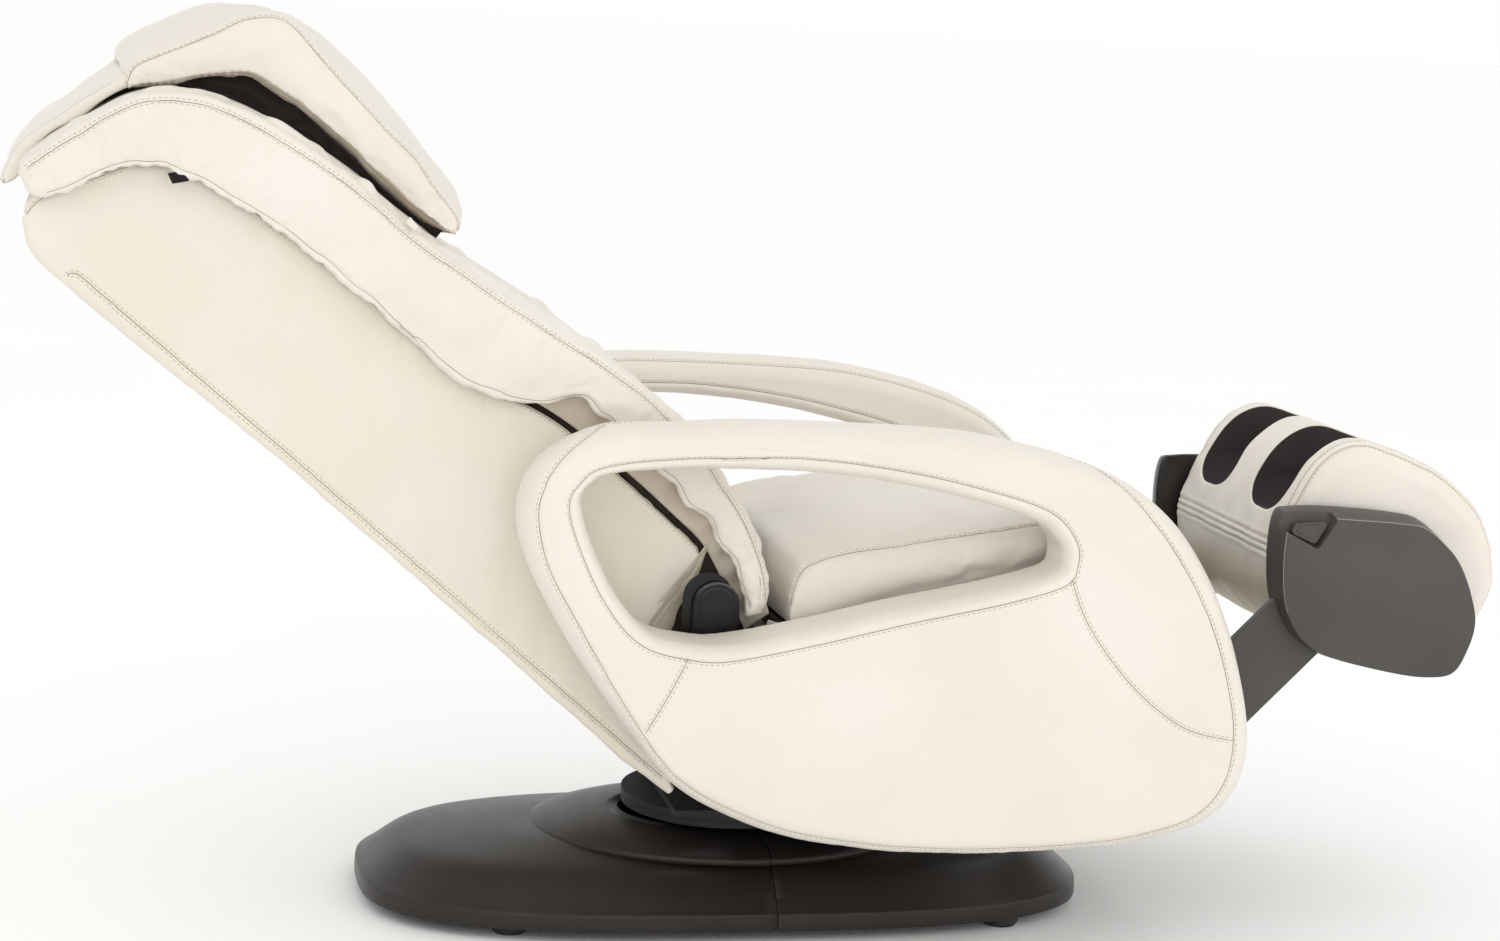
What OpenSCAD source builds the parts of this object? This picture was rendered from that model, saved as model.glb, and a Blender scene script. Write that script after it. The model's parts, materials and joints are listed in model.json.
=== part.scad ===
// Reclining massage chair on a swivel base: padded arms, reclining back with a roller
// carriage, and a raised leg rest with a turning calf massager.
// Millimetres. +Z up, +X towards the feet, +Y to the sitter's left.
// Origin: on the floor, under the middle of the whole chair. Shown fully reclined.

/* [Seat and arms] */
// Clear width between the two arm pods
seat_w = 524; // [516:2:580]
// Thickness of one arm pod
arm_t = 90; // [70:2:110]
// Wall between the seat cushion and the pod on each side
cushion_gap = 10; // [4:1:16]

/* [Back] */
// Width of the back shell
shell_w = 450; // [440:2:460]
// Wall of the back shell
shell_wall = 6; // [4:1:8]
// Width of the roller channel between the two back pads
channel_w = 180; // [170:2:190]
// Width of the head pillow
pillow_w = 400; // [340:10:420]
// Diameter of one massage roller
roller_d = 58; // [50:1:60]
// Diameter of the carriage guide rails
guide_d = 16; // [12:1:18]

/* [Base] */
// Length of the base cover
base_len = 894; // [860:2:910]
// Width of the base cover
base_w = 452; // [440:2:480]
// Wall of the base cover
base_wall = 4; // [3:0.5:5]
// Diameter of one foot
foot_d = 44; // [36:2:50]
// Height of one foot
foot_h = 14; // [14:1:14]
// Outer diameter of the swivel bearing
swivel_d = 250; // [220:2:252]

/* [Leg rest] */
// Width over the two side plates
leg_w = 456; // [450:2:470]
// Thickness of one side plate
plate_t = 38; // [36:1:40]
// Depth of the two slide bars
bar_h = 91; // [80:1:92]
// Radius of the two calf wells
well_r = 48; // [42:1:50]

/* [Hidden] */
$fn = 48;

// half widths, from the middle plane outwards
pod_in = seat_w / 2;
pod_out = pod_in + arm_t;
cush_y = pod_in - cushion_gap;
rail_out = 250;
rail_in = 220;
sh = shell_w / 2;
plate_out = leg_w / 2;
plate_in = plate_out - plate_t;
bar_in = plate_in + 6;
bar_out = bar_in + 12;
mas_y = plate_in - 4;

// main axes, [x, z]
H = [-95, 395];      // back hinge
K = [395, 430];      // leg rest pivot
M = [740, 440];      // calf massager axle
sw_x = -22;          // swivel axis
lean = -50;          // turn of the back from upright to fully reclined
back_r = 150;        // lever of the back, hinge to drive pin
B = [H[0] + back_r * sin(15), H[1] - back_r * cos(15)];
leg_r = back_r * sin(15) / sin(22.5);
L = [K[0] + leg_r * sin(22.5), K[1] - leg_r * cos(22.5)];
car_h = 300;         // height of the carriage along the back

// closed smooth curve through the given points, n steps between each two
function curve(p, n) = [for (i = [0 : len(p) - 1]) for (k = [0 : n - 1])
  let (t = k / n, m = len(p), a = p[(i + m - 1) % m], b = p[i], c = p[(i + 1) % m], d = p[(i + 2) % m])
  0.5 * (2 * b + (c - a) * t + (2 * a - 5 * b + 4 * c - d) * t * t + (3 * b - a - 3 * c + d) * t * t * t)];
// open smooth curve
function run(p, n) = concat([for (i = [0 : len(p) - 2]) for (k = [0 : n - 1])
  let (t = k / n, m = len(p), a = p[max(i - 1, 0)], b = p[i], c = p[i + 1], d = p[min(i + 2, m - 1)])
  0.5 * (2 * b + (c - a) * t + (2 * a - 5 * b + 4 * c - d) * t * t + (3 * b - a - 3 * c + d) * t * t * t)], [p[len(p) - 1]]);
function flip(p) = [for (i = [len(p) - 1 : -1 : 0]) p[i]];

// side outline drawn in x and z, between two widths
module side(p, y0, y1) translate([0, y1, 0]) rotate([90, 0, 0]) linear_extrude(height = y1 - y0) polygon(p);
// straight bar between two side points
module bar(a, b, h, y0, y1) translate([a[0], y0, a[1]])
  rotate([0, -atan2(b[1] - a[1], b[0] - a[0]), 0]) translate([0, 0, -h / 2]) cube([norm(b - a), y1 - y0, h]);
// plate between two widths, cut from a flat outline
module flat(y0, y1) translate([0, y1, 0]) rotate([90, 0, 0]) linear_extrude(height = y1 - y0) children();
module strip(a, b, h) translate(a) rotate(atan2(b[1] - a[1], b[0] - a[0])) translate([0, -h / 2]) square([norm(b - a), h]);
module disc(p, r) translate(p) circle(r = r);
// round bar across the chair
module cross(p, r, y0, y1) translate([p[0], y1, p[1]]) rotate([90, 0, 0]) cylinder(r = r, h = y1 - y0);
// the same thing on both sides
module both() { children(); mirror([0, 1, 0]) children(); }
// frame of the back: x forwards, z up along the back, origin at its hinge
module back() translate([H[0], 0, H[1]]) rotate([0, lean, 0]) children();

// ---------- base ----------
base_c = -22.5;
function sgn_pow(v, e) = (v < 0 ? -1 : 1) * pow(abs(v), e);
function oval(a, b, z, n, e) = [for (i = [0 : n - 1]) let (t = 360 * i / n)
  [base_c + a * sgn_pow(cos(t), e), b * sgn_pow(sin(t), e), z]];
module loft(rings) {
  n = len(rings[0]);
  m = len(rings);
  polyhedron(points = [for (r = rings) each r],
    faces = concat([[for (i = [0 : n - 1]) i]],
      [for (j = [0 : m - 2]) for (i = [0 : n - 1]) let (k = (i + 1) % n)
        each [[j * n + i, (j + 1) * n + i, (j + 1) * n + k], [j * n + i, (j + 1) * n + k, j * n + k]]],
      [[for (i = [n - 1 : -1 : 0]) (m - 1) * n + i]]));
}
// outside of the cover, or its inside when w is the wall
module cover_body(w) {
  a = base_len / 2 - w;
  b = base_w / 2 - w;
  z0 = w > 0 ? foot_h - 1 : foot_h;
  loft([oval(a, b, z0, 72, 0.68), oval(a, b, 34 - w / 2, 72, 0.68), oval(a - 6, b - 6, 52 - w, 72, 0.68),
    oval(a - 22, b - 22, 70 - w, 72, 0.7), oval(a - 70, b - 62, 82 - w, 72, 0.76), oval(a - 160, b - 120, 88 - w, 72, 0.9)]);
  loft([oval(236 - w, 176 - w, 60, 72, 1), oval(236 - w, 176 - w, 78 - w, 72, 1), oval(214 - w, 158 - w, 90 - w, 72, 1), oval(180 - w, 140 - w, 98 - w, 72, 1),
    oval(140, 136, 103 - w, 72, 1)]);
}
module base_cover() {
  difference() {
    cover_body(0);
    cover_body(base_wall);
    translate([sw_x, 0, 60]) cylinder(d = swivel_d + 4, h = 80, $fn = 96);
    translate([sock_x - 14.5, base_w / 2 - 30, 20.5]) cube([29, 60, 21]);
    translate([rock_x - 13.2, base_w / 2 - 30, 18.4]) cube([26.4, 60, 25.2]);
  }
}
module base_cover_rear() color([0.30, 0.28, 0.26]) intersection() {
  base_cover();
  translate([-600, -400, 0]) cube([603.6, 800, 200]);
}
module base_cover_front() color([0.30, 0.28, 0.26]) intersection() {
  base_cover();
  translate([4, -400, 0]) cube([600, 800, 200]);
}
module base_frame() color([0.16, 0.16, 0.17]) {
  for (s = [-1, 1]) translate([-350, s * 160 - 12, foot_h + 2]) cube([664, 24, 30]);
  for (x = [-330, 264]) translate([x, -150, foot_h + 2]) cube([30, 300, 30]);
  for (x = [-110, 50]) translate([x, -150, foot_h + 2]) cube([30, 300, 30]);
}
module base_pedestal() color([0.16, 0.16, 0.17]) {
  translate([sw_x, 0, foot_h + 32.2]) cylinder(r = 110, h = 8, $fn = 96);
  translate([sw_x, 0, foot_h + 40]) cylinder(r = 62, h = 56, $fn = 96);
  translate([sw_x, 0, foot_h + 96]) cylinder(r = 20, h = 30, $fn = 96);
}
module feet() color([0.07, 0.07, 0.07]) for (x = [-304, 296]) both()
  translate([x, 162, 0]) { cylinder(d1 = foot_d - 6, d2 = foot_d, h = 5); translate([0, 0, 5]) cylinder(d = foot_d, h = foot_h - 4); cylinder(r = 6, h = foot_h + 1.8); }
module power_module() color([0.12, 0.12, 0.13]) translate([-299.9, 40, foot_h + 4]) cube([150, 100, 26]);
sock_x = -137;       // middle of the appliance socket
rock_x = -92;        // middle of the rocker switch
face_y = base_w / 2 - 2;
module mains_inlet() color([0.05, 0.05, 0.05]) difference() {
  translate([sock_x - 14.3, face_y - 19, 20.7]) cube([28.6, 19, 20.6]);
  translate([sock_x - 12.3, face_y - 17, 22.7]) cube([24.6, 30, 16.6]);
}
module switch_housing() color([0.05, 0.05, 0.05]) {
  difference() {
    translate([rock_x - 13, face_y - 28, 18.6]) cube([26, 28, 24.8]);
    translate([rock_x - 11, face_y - 26, 20.4]) cube([22, 40, 21.2]);
  }
  translate([rock_x - 12, face_y - 12, 31]) rotate([0, 90, 0]) cylinder(r = 1.5, h = 24);
}
module power_switch() color([0.08, 0.08, 0.08]) translate([rock_x, face_y - 12, 31]) rotate([-8, 0, 0]) difference() {
  rotate([90, 0, 90]) translate([0, 0, -10.5]) linear_extrude(height = 21)
    polygon([[-7, -6], [-7, 6], [10, 8.5], [8, 0], [10, -8.5]]);
  rotate([0, 90, 0]) translate([0, 0, -12]) cylinder(r = 1.55, h = 24);
}

// ---------- swivel ----------
module bearing_lower_ring() color([0.6, 0.6, 0.62]) difference() {
  translate([sw_x, 0, 110]) cylinder(d = swivel_d, h = 8, $fn = 96);
  translate([sw_x, 0, 100]) cylinder(r = 20.2, h = 30, $fn = 96);
}
module bearing_upper_ring() color([0.6, 0.6, 0.62]) difference() {
  translate([sw_x, 0, 118.3]) cylinder(d = swivel_d, h = 8, $fn = 96);
  translate([sw_x, 0, 100]) cylinder(r = 20.06, h = 40, $fn = 96);
}
module swivel_plate() color([0.16, 0.16, 0.17]) difference() {
  translate([sw_x - 84, -130, 126.5]) cube([242, 260, 8]);
  translate([sw_x, 0, 100]) cylinder(r = 20.06, h = 60, $fn = 96);
}

// ---------- seat ----------
module seat_frame() color([0.16, 0.16, 0.17]) {
  for (x = [-40, 90]) translate([x, -219.9, 144]) cube([40, 439.8, 34]);
  for (s = [-1, 1]) translate([-42, s * 100 - 15, 134.7]) cube([172, 30, 12]);
  translate([258, -24, 238]) cube([10, 48, 120]);
  translate([254, -219.9, 348.1]) cube([24, 439.8, 24]);
  for (s = [-1, 1]) translate([254, s * 150 - 10, 370]) cube([24, 20, 51.8]);
}
module seat_rail() color([0.14, 0.14, 0.15]) flat(rail_in, rail_out) difference() {
  union() {
    strip([-95, 395], [-95, 318], 48);
    strip([-100, 317], K, 44);
    strip([-66, 324], [-20, 160], 40);
    strip([110, 362], [110, 160], 40);
    translate([0, 345]) square([30, 18.5]);
    translate([330, 420]) square([30, 19.5]);
    disc(H, 26);
    disc(K, 23.5);
  }
  disc(H, 10.02);
  disc(K, 9.02);
}
module seat_rail_left() seat_rail();
module seat_rail_right() mirror([0, 1, 0]) seat_rail();
module back_hinge_pins() color([0.62, 0.62, 0.64]) both() cross(H, 10, 196.5, rail_out);
module leg_pivot_pins() color([0.62, 0.62, 0.64]) both() cross(K, 9, bar_in - 7.5, rail_out);
module pod_brackets() color([0.14, 0.14, 0.15]) both() {
  translate([20, rail_out + 0.1, 318]) cube([60, pod_in - rail_out - 0.2, 44]);
  translate([250, rail_out + 0.1, 372]) cube([60, pod_in - rail_out - 0.2, 44]);
  translate([95, rail_out + 0.1, 190]) cube([30, pod_in - rail_out - 0.2, 90]);
}
module seat_pan() color([0.45, 0.38, 0.30])
  side([[-8, 362], [430, 463], [430, 479], [-8, 378]], -rail_out, rail_out);
module seat_cushion() color([0.93, 0.90, 0.83])
  side([[-8, 378.4], [-5, 436], [8, 459], [56, 475], [180, 496], [307, 514], [385, 525], [415, 519], [431, 500], [430, 479.4]], -cush_y, cush_y);

pod_line = [[-337, 520], [-332, 556], [-315, 584], [-285, 607], [-240, 624], [-180, 634], [-90, 639], [25, 638],
  [140, 633], [225, 620], [300, 600], [360, 574], [410, 537], [450, 490], [485, 428], [510, 362], [525, 300],
  [528, 250], [516, 208], [490, 178], [450, 160], [380, 146], [285, 138], [175, 136], [70, 143], [-25, 160],
  [-97, 188], [-140, 212], [-170, 240], [-240, 331], [-288, 404], [-324, 470]];
pod_hole = [[-270, 542], [-258, 564], [-230, 574], [-142, 581], [-30, 580], [85, 568], [180, 549], [250, 529],
  [278, 506], [284, 486], [274, 468], [210, 449], [94, 425], [-19, 398], [-98, 383], [-143, 385], [-189, 398],
  [-224, 435], [-254, 490]];
module arm_pod() color([0.95, 0.92, 0.86]) difference() {
  side(curve(pod_line, 2), pod_in, pod_out);
  side(curve(pod_hole, 2), pod_in - 5, pod_out + 5);
}
module arm_pod_left() arm_pod();
module arm_pod_right() mirror([0, 1, 0]) arm_pod();
module hinge_cover() color([0.05, 0.05, 0.05]) {
  cross([-98, 412], 30, rail_out + 1, rail_out + 8);
  translate([-128, rail_out + 1, 350]) cube([60, 7, 62]);
}
module hinge_cover_left() hinge_cover();
module hinge_cover_right() mirror([0, 1, 0]) hinge_cover();

// ---------- controls, on the inner face of the right arm ----------
btn_x = [246, 263, 280, 297, 314];
module control_panel() color([0.10, 0.10, 0.11]) difference() {
  translate([232, -pod_in + 0.2, 540]) cube([96, 8, 36]);
  for (x = btn_x) translate([x, -pod_in + 3, 558]) rotate([-90, 0, 0]) cylinder(r = 6.1, h = 20);
}
module button(i) color([0.25, 0.25, 0.26])
  translate([btn_x[i], -pod_in + 4.6, 558]) rotate([-90, 0, 0]) cylinder(r = 6, h = 5.4);
module button_power() button(0);
module button_program() button(1);
module button_recline() button(2);
module button_raise() button(3);
module button_foot() button(4);

// ---------- recline drive ----------
module recline_actuator() color([0.20, 0.20, 0.22]) difference() {
  union() {
    translate([44, -22, B[1] - 24]) cube([213.8, 44, 48]);
    translate([60, 0, B[1] + 48]) rotate([0, 90, 0]) cylinder(r = 27, h = 150);
  }
  translate([34, 0, B[1]]) rotate([0, 90, 0]) cylinder(r = 11.05, h = 190);
}
module recline_rod() color([0.68, 0.68, 0.70]) difference() {
  union() {
    translate([B[0] + 10, 0, B[1]]) rotate([0, 90, 0]) cylinder(r = 11, h = 205);
    cross(B, 22, -10, 10);
    translate([B[0], -10, B[1] - 30]) cube([20, 20, 30]);
  }
  cross(B, 6.6, -20, 20);
  cross([B[0], B[1] - 7], 6.6, -20, 20);
  translate([B[0] - 6.6, -20, B[1] - 7]) cube([13.2, 40, 7]);
}
module leg_link_rods() color([0.20, 0.20, 0.22]) both() flat(150, 160) difference() {
  union() {
    strip(B, L, 16);
    disc(B, 17);
    disc(L, 15);
  }
  disc(B, 9.8);
  disc(L, 7.05);
}

// ---------- back ----------
shell_line = [[-190, -110], [-190, 826], [-172, 862], [-122, 850], [-85, 826], [-42, 793], [-25, 750], [-10, 670],
  [0, 590], [5, 500], [8, 420], [18, 368], [42, 310], [56, 256], [59, 171], [57, 55], [-89, 44], [-146, -40], [-178, -110]];
shell_hollow = [[-184, -140], [-184, 822], [-168, 852], [-124, 840], [-90, 816], [-50, 784], [-34, 745], [60, 800],
  [140, 600], [140, 40], [-60, 40], [-100, -140]];
module back_shell() color([0.93, 0.90, 0.83]) back() difference() {
  side(shell_line, -sh, sh);
  side(shell_hollow, -sh + shell_wall, sh - shell_wall);
  // slots where the frame's levers come out
  both() bar([-137, -2], [0, 0], 46, 190, 217);
  both() bar([-112, 20], Bl, 34, 136, 153);
  bar([-112, 20], Bl, 34, -26, 26);
}
// drive lever points in the frame of the back
function loc(p) = [(p[0] - H[0]) * cos(lean) - (p[1] - H[1]) * sin(lean), (p[0] - H[0]) * sin(lean) + (p[1] - H[1]) * cos(lean)];
Bl = loc(B);
module back_frame() color([0.14, 0.14, 0.15]) back() difference() {
  union() {
    both() {
      bar([-120, -20], [-120, 790], 34, 168, 196);
      bar([-120, -2], [0, 0], 40, 196, 215);
      cross([0, 0], 22, 196, 215);
      bar([-112, 20], Bl, 26, 140, 149);
      cross(Bl, 14, 140, 149);
      cross(Bl, 6, 148, 161);
    }
    for (h = [10, 130, 772]) translate([-137, -180, h]) cube([30, 360, 30]);
    for (h = [130, 772], s = [-1, 1]) translate([-110, s * 110 - 14, h]) cube([62, 28, h > 500 ? 6 : 30]);
    translate([-125, -34, -20]) cube([26, 22, 40]);
    translate([-125, 12, -20]) cube([26, 22, 40]);
    for (s = [-1, 1]) bar([-112, 20], Bl, 26, s > 0 ? 12 : -22, s > 0 ? 22 : -12);
    for (s = [-1, 1]) cross(Bl, 13, s > 0 ? 12 : -22, s > 0 ? 22 : -12);
    cross(Bl, 6, -20, 20);
  }
  cross([0, 0], 10.05, -230, 230);
}
pad_front = [[-142, 900], [-124, 907], [-78, 896], [-32, 881], [2, 867], [31, 845], [52, 815], [70, 776], [87, 706],
  [96, 642], [100, 557], [104, 503], [116, 409], [134, 304], [140, 220], [138, 150], [126, 98], [111, 45], [89, 0], [50, -44]];
pad_rear = [[-142, 874], [-118, 868], [-70, 848], [-20, 812], [5, 760], [28, 690], [40, 620], [46, 540], [52, 460],
  [66, 380], [82, 300], [90, 220], [88, 150], [76, 92], [61, 50], [45, 6], [36, -38]];
skirt_rear = [[-150, 876], [-103, 848], [-59, 828], [-36, 806], [-21, 772], [-10, 730], [-1, 686], [6, 620], [9, 560],
  [8, 490], [10, 421], [16, 381], [33, 340], [49, 315], [85, 290], [104, 281]];
skirt_front = [for (p = pad_front) if (p[1] > 281) p];
module back_pad() color([0.95, 0.92, 0.86]) back() {
  side(concat(run(pad_front, 2), flip(pad_rear)), channel_w / 2, 250);
  side(concat(run(skirt_front, 2), flip(skirt_rear)), sh + 0.5, 250);
}
module back_pad_left() back_pad();
module back_pad_right() mirror([0, 1, 0]) back_pad();
mid_front = [for (p = pad_front) if (p[1] < 880 && p[1] > 60) [p[0] - 4, p[1]]];
mid_rear = [for (p = pad_front) if (p[1] < 880 && p[1] > 60) [p[0] - 14, p[1] - 4]];
module back_center_panel() color([0.07, 0.06, 0.06]) back()
  side(concat(run(mid_front, 2), flip(run(mid_rear, 2))), -channel_w / 2 + 0.5, channel_w / 2 - 0.5);

// ---------- roller carriage ----------
gf = -62; // depth of the guide rails
module guide_rails() color([0.70, 0.70, 0.72]) back() both()
  translate([gf, 110, 160.2]) cylinder(d = guide_d, h = 611.6);
module lift_motor() color([0.20, 0.20, 0.22]) back() translate([gf, 0, 60]) {
  cylinder(r = 28, h = 100);
  translate([-45, -15, 75]) cube([20, 30, 20]);
}
module lead_screw() color([0.60, 0.60, 0.62]) back() translate([gf, 0, 160.4]) cylinder(r = 7, h = 600);
module massage_carriage() color([0.22, 0.22, 0.24]) back() translate([0, 0, car_h]) difference() {
  union() {
    translate([gf - 20, -128, -50]) cube([40, 256, 100]);
    for (s = [-1, 1]) translate([gf + 20, s * 74 - 5, -18]) cube([42, 10, 36]);
  }
  for (s = [-1, 1]) translate([gf, s * 110, -60]) cylinder(d = guide_d + 0.16, h = 120);
  translate([gf, 0, -60]) cylinder(r = 7.1, h = 120);
  cross([-34, 0], 8.05, -100, 100);
  both() cross([-34, 0], 15.5, 38, 52);
}
module kneading_motor() color([0.15, 0.15, 0.17]) back() translate([gf - 20.2, -52, car_h])
  rotate([0, -90, 0]) cylinder(r = 30, h = 48);
module roller_arms() color([0.75, 0.74, 0.72]) back() translate([0, 0, car_h]) {
  cross([-34, 0], 8, -79, 79);
  both() flat(40, 50) difference() {
    union() {
      strip([-34, 0], [24, 72], 20);
      strip([-34, 0], [24, -72], 20);
      disc([-34, 0], 14);
      disc([24, 72], 12);
      disc([24, -72], 12);
    }
    disc([24, 72], 5.05);
    disc([24, -72], 5.05);
  }
}
module roller_pair(s) color([0.85, 0.83, 0.78]) back() translate([24, 0, car_h + s * 72]) {
  cross([0, 0], 5, -82, 82);
  both() difference() {
    intersection() {
      cross([0, 0], roller_d / 2, 52, 80);
      translate([0, 66, 0]) sphere(r = roller_d / 2 + 0.5, $fn = 48);
    }
    cross([0, 0], 4.9, 50, 84);
  }
}
module upper_rollers() roller_pair(1);
module lower_rollers() roller_pair(-1);

// ---------- head pillow ----------
pillow_line = [[17, 905], [34, 910], [80, 896], [122, 876], [155, 848], [175, 808], [184, 730], [174, 634], [161, 563],
  [152, 526], [139, 509], [112, 511], [105, 568], [104, 649], [108, 721], [101, 779], [80, 806], [40, 845], [12, 874]];
module head_pillow() color([0.95, 0.92, 0.86]) back() side(curve(pillow_line, 2), -pillow_w / 2, pillow_w / 2);
module pillow_flap() color([0.90, 0.87, 0.80]) back()
  side([[8, 908], [-55, 925], [-100, 932], [-125, 924], [-150, 918], [-158, 904], [-150, 903], [-122, 912], [-100, 920], [-55, 912], [7, 895]],
    -pillow_w / 2 + 10, pillow_w / 2 - 10);

// ---------- leg rest ----------
up45 = [1, 1] / sqrt(2);
function on_bar(x) = [x, x - 255.5];
module leg_swing_arms() color([0.14, 0.14, 0.15]) difference() {
  union() {
    both() {
      flat(bar_in - 8, bar_in - 1) {
        strip(K, [450, 232], 46);
        strip(on_bar(452), on_bar(522), 66);
        disc(K, 22);
      }
      flat(138, 149) {
        strip(K, L, 24);
        disc(L, 12);
      }
      cross(L, 7, 148, 161);
    }
    cross(K, 13, -bar_in + 6, bar_in - 6);
    cross([458, 214], 13, -bar_in + 6, bar_in - 6);
  }
  both() cross(K, 9.05, bar_in - 9, bar_in + 1);
}
module leg_slide_bars() color([0.22, 0.21, 0.20]) both()
  bar(on_bar(470), on_bar(662), bar_h, bar_in, bar_out);
plate_line = [[594, 518], [612, 526], [660, 527], [744, 521], [786, 510], [828, 468], [851, 419], [857, 384], [846, 346],
  [832, 326], [808, 320], [763, 323], [683, 340], [643, 356], [615, 380], [597, 417], [590, 470]];
tri = [[600, 497], [662, 517], [641, 477]];
tri_in = [[606, 497.5], [655, 513.5], [639, 482]];
module side_plate() color([0.30, 0.28, 0.26]) difference() {
  side(curve(plate_line, 3), plate_in, plate_out);
  bar(on_bar(450), on_bar(662.5), bar_h + 1, bar_in - 0.3, bar_out + 0.3);
  side(tri, plate_out - 14, plate_out + 5);
  cross(M, 14.05, plate_in - 1, plate_in + 14);
}
module side_plate_left() side_plate();
module side_plate_right() mirror([0, 1, 0]) side_plate();
module release_button() color([0.22, 0.21, 0.20]) side(tri_in, plate_out - 9, plate_out - 2);
module release_button_left() release_button();
module release_button_right() mirror([0, 1, 0]) release_button();

roll_line = [[604, 396], [596, 432], [596, 474], [610, 508], [632, 546], [658, 578], [686, 595], [716, 602], [752, 594],
  [804, 568], [846, 534], [876, 488], [890, 440], [888, 405], [868, 366], [820, 326], [760, 304], [700, 306], [650, 330], [620, 362]];
well_y = 84;
module well_axis(r) translate([596, 0, 536]) rotate([0, 65, 0]) translate([0, 0, -60]) cylinder(r = r, h = 420, $fn = 64);
module calf_massager() color([0.95, 0.92, 0.86]) difference() {
  side(curve(roll_line, 2), -mas_y, mas_y);
  for (s = [-1, 1]) translate([0, s * well_y, 0]) well_axis(well_r);
  side([[664, 376], [816, 376], [816, 504], [664, 504]], -170, 170);
  cross(M, 16, -mas_y - 1, mas_y + 1);
}
module well_liner(s) color([0.08, 0.07, 0.06]) intersection() {
  side(curve(roll_line, 2), -mas_y, mas_y);
  translate([0, s * well_y, 0]) difference() { well_axis(well_r - 0.3); well_axis(well_r - 6); }
}
module well_liner_left() well_liner(1);
module well_liner_right() well_liner(-1);
module massager_axle() color([0.62, 0.62, 0.64]) {
  cross(M, 14, -plate_in - 12, plate_in + 12);
  both() cross(M, 15.8, 120, mas_y);
}
module massager_motor() color([0.20, 0.20, 0.22]) both() difference() {
  translate([680, 20, 385]) cube([120, 90, 110]);
  cross(M, 14.2, 10, 120);
}

base_frame();
base_pedestal();
base_cover_rear();
base_cover_front();
feet();
power_module();
mains_inlet();
switch_housing();
power_switch();
bearing_lower_ring();
bearing_upper_ring();
swivel_plate();
seat_frame();
seat_rail_right();
seat_rail_left();
back_hinge_pins();
leg_pivot_pins();
pod_brackets();
seat_pan();
seat_cushion();
arm_pod_right();
arm_pod_left();
hinge_cover_right();
hinge_cover_left();
control_panel();
button_power();
button_program();
button_recline();
button_raise();
button_foot();
recline_actuator();
recline_rod();
leg_link_rods();
back_frame();
back_shell();
back_pad_right();
back_pad_left();
back_center_panel();
guide_rails();
lift_motor();
lead_screw();
massage_carriage();
kneading_motor();
roller_arms();
upper_rollers();
lower_rollers();
head_pillow();
pillow_flap();
leg_swing_arms();
leg_slide_bars();
side_plate_right();
side_plate_left();
release_button_right();
release_button_left();
calf_massager();
well_liner_right();
well_liner_left();
massager_axle();
massager_motor();
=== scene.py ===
"""Looks of the reclining massage chair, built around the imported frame. Metres, row frame."""
import bpy
import bmesh
import json
import math
import numpy as np
from mathutils import Matrix, Vector
from mathutils.bvhtree import BVHTree
from mathutils.kdtree import KDTree


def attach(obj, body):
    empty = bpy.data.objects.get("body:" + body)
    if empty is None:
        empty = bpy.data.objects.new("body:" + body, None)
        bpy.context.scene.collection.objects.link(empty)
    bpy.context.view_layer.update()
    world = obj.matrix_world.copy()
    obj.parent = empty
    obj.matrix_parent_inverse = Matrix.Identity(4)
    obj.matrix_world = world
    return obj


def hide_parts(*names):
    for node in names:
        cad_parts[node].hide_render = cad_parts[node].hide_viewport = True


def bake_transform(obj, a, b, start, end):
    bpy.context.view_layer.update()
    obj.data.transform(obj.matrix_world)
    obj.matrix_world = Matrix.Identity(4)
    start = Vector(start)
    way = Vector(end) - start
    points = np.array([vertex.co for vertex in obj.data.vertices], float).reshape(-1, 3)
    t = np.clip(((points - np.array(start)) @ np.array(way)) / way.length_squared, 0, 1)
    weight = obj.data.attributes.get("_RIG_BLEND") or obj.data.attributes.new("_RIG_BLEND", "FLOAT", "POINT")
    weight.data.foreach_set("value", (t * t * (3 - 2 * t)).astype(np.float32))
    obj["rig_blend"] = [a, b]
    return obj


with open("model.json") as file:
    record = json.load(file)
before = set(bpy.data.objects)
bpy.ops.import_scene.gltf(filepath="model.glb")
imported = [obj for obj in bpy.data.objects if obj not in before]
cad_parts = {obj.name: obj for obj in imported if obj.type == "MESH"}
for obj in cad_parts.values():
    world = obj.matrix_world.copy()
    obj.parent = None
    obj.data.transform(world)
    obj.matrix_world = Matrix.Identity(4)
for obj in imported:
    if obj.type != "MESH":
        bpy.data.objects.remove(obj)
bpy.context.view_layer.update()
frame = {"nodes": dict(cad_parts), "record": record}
MM = 0.001
scene = bpy.context.scene

# ------------------------------------------------------------------ camera
cam_data = bpy.data.cameras.new("camera")
cam = bpy.data.objects.new("camera", cam_data)
scene.collection.objects.link(cam)
right = Vector((0.97570334, -0.21248401, 0.05341859))
up = Vector((-0.01837089, 0.16361269, 0.98635359))
back_v = Vector((-0.21832433, -0.96336983, 0.15573393))
rot = Matrix((right, up, back_v)).transposed()
cam.matrix_world = Matrix.Translation((-0.79263634, -3.46225718, 1.08503849)) @ rot.to_4x4()
cam_data.sensor_fit = "HORIZONTAL"
cam_data.sensor_width = 36.0
cam_data.lens = 36.0 * 2947.0 / 1500.0
cam_data.clip_end = 400.0
scene.camera = cam

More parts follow.
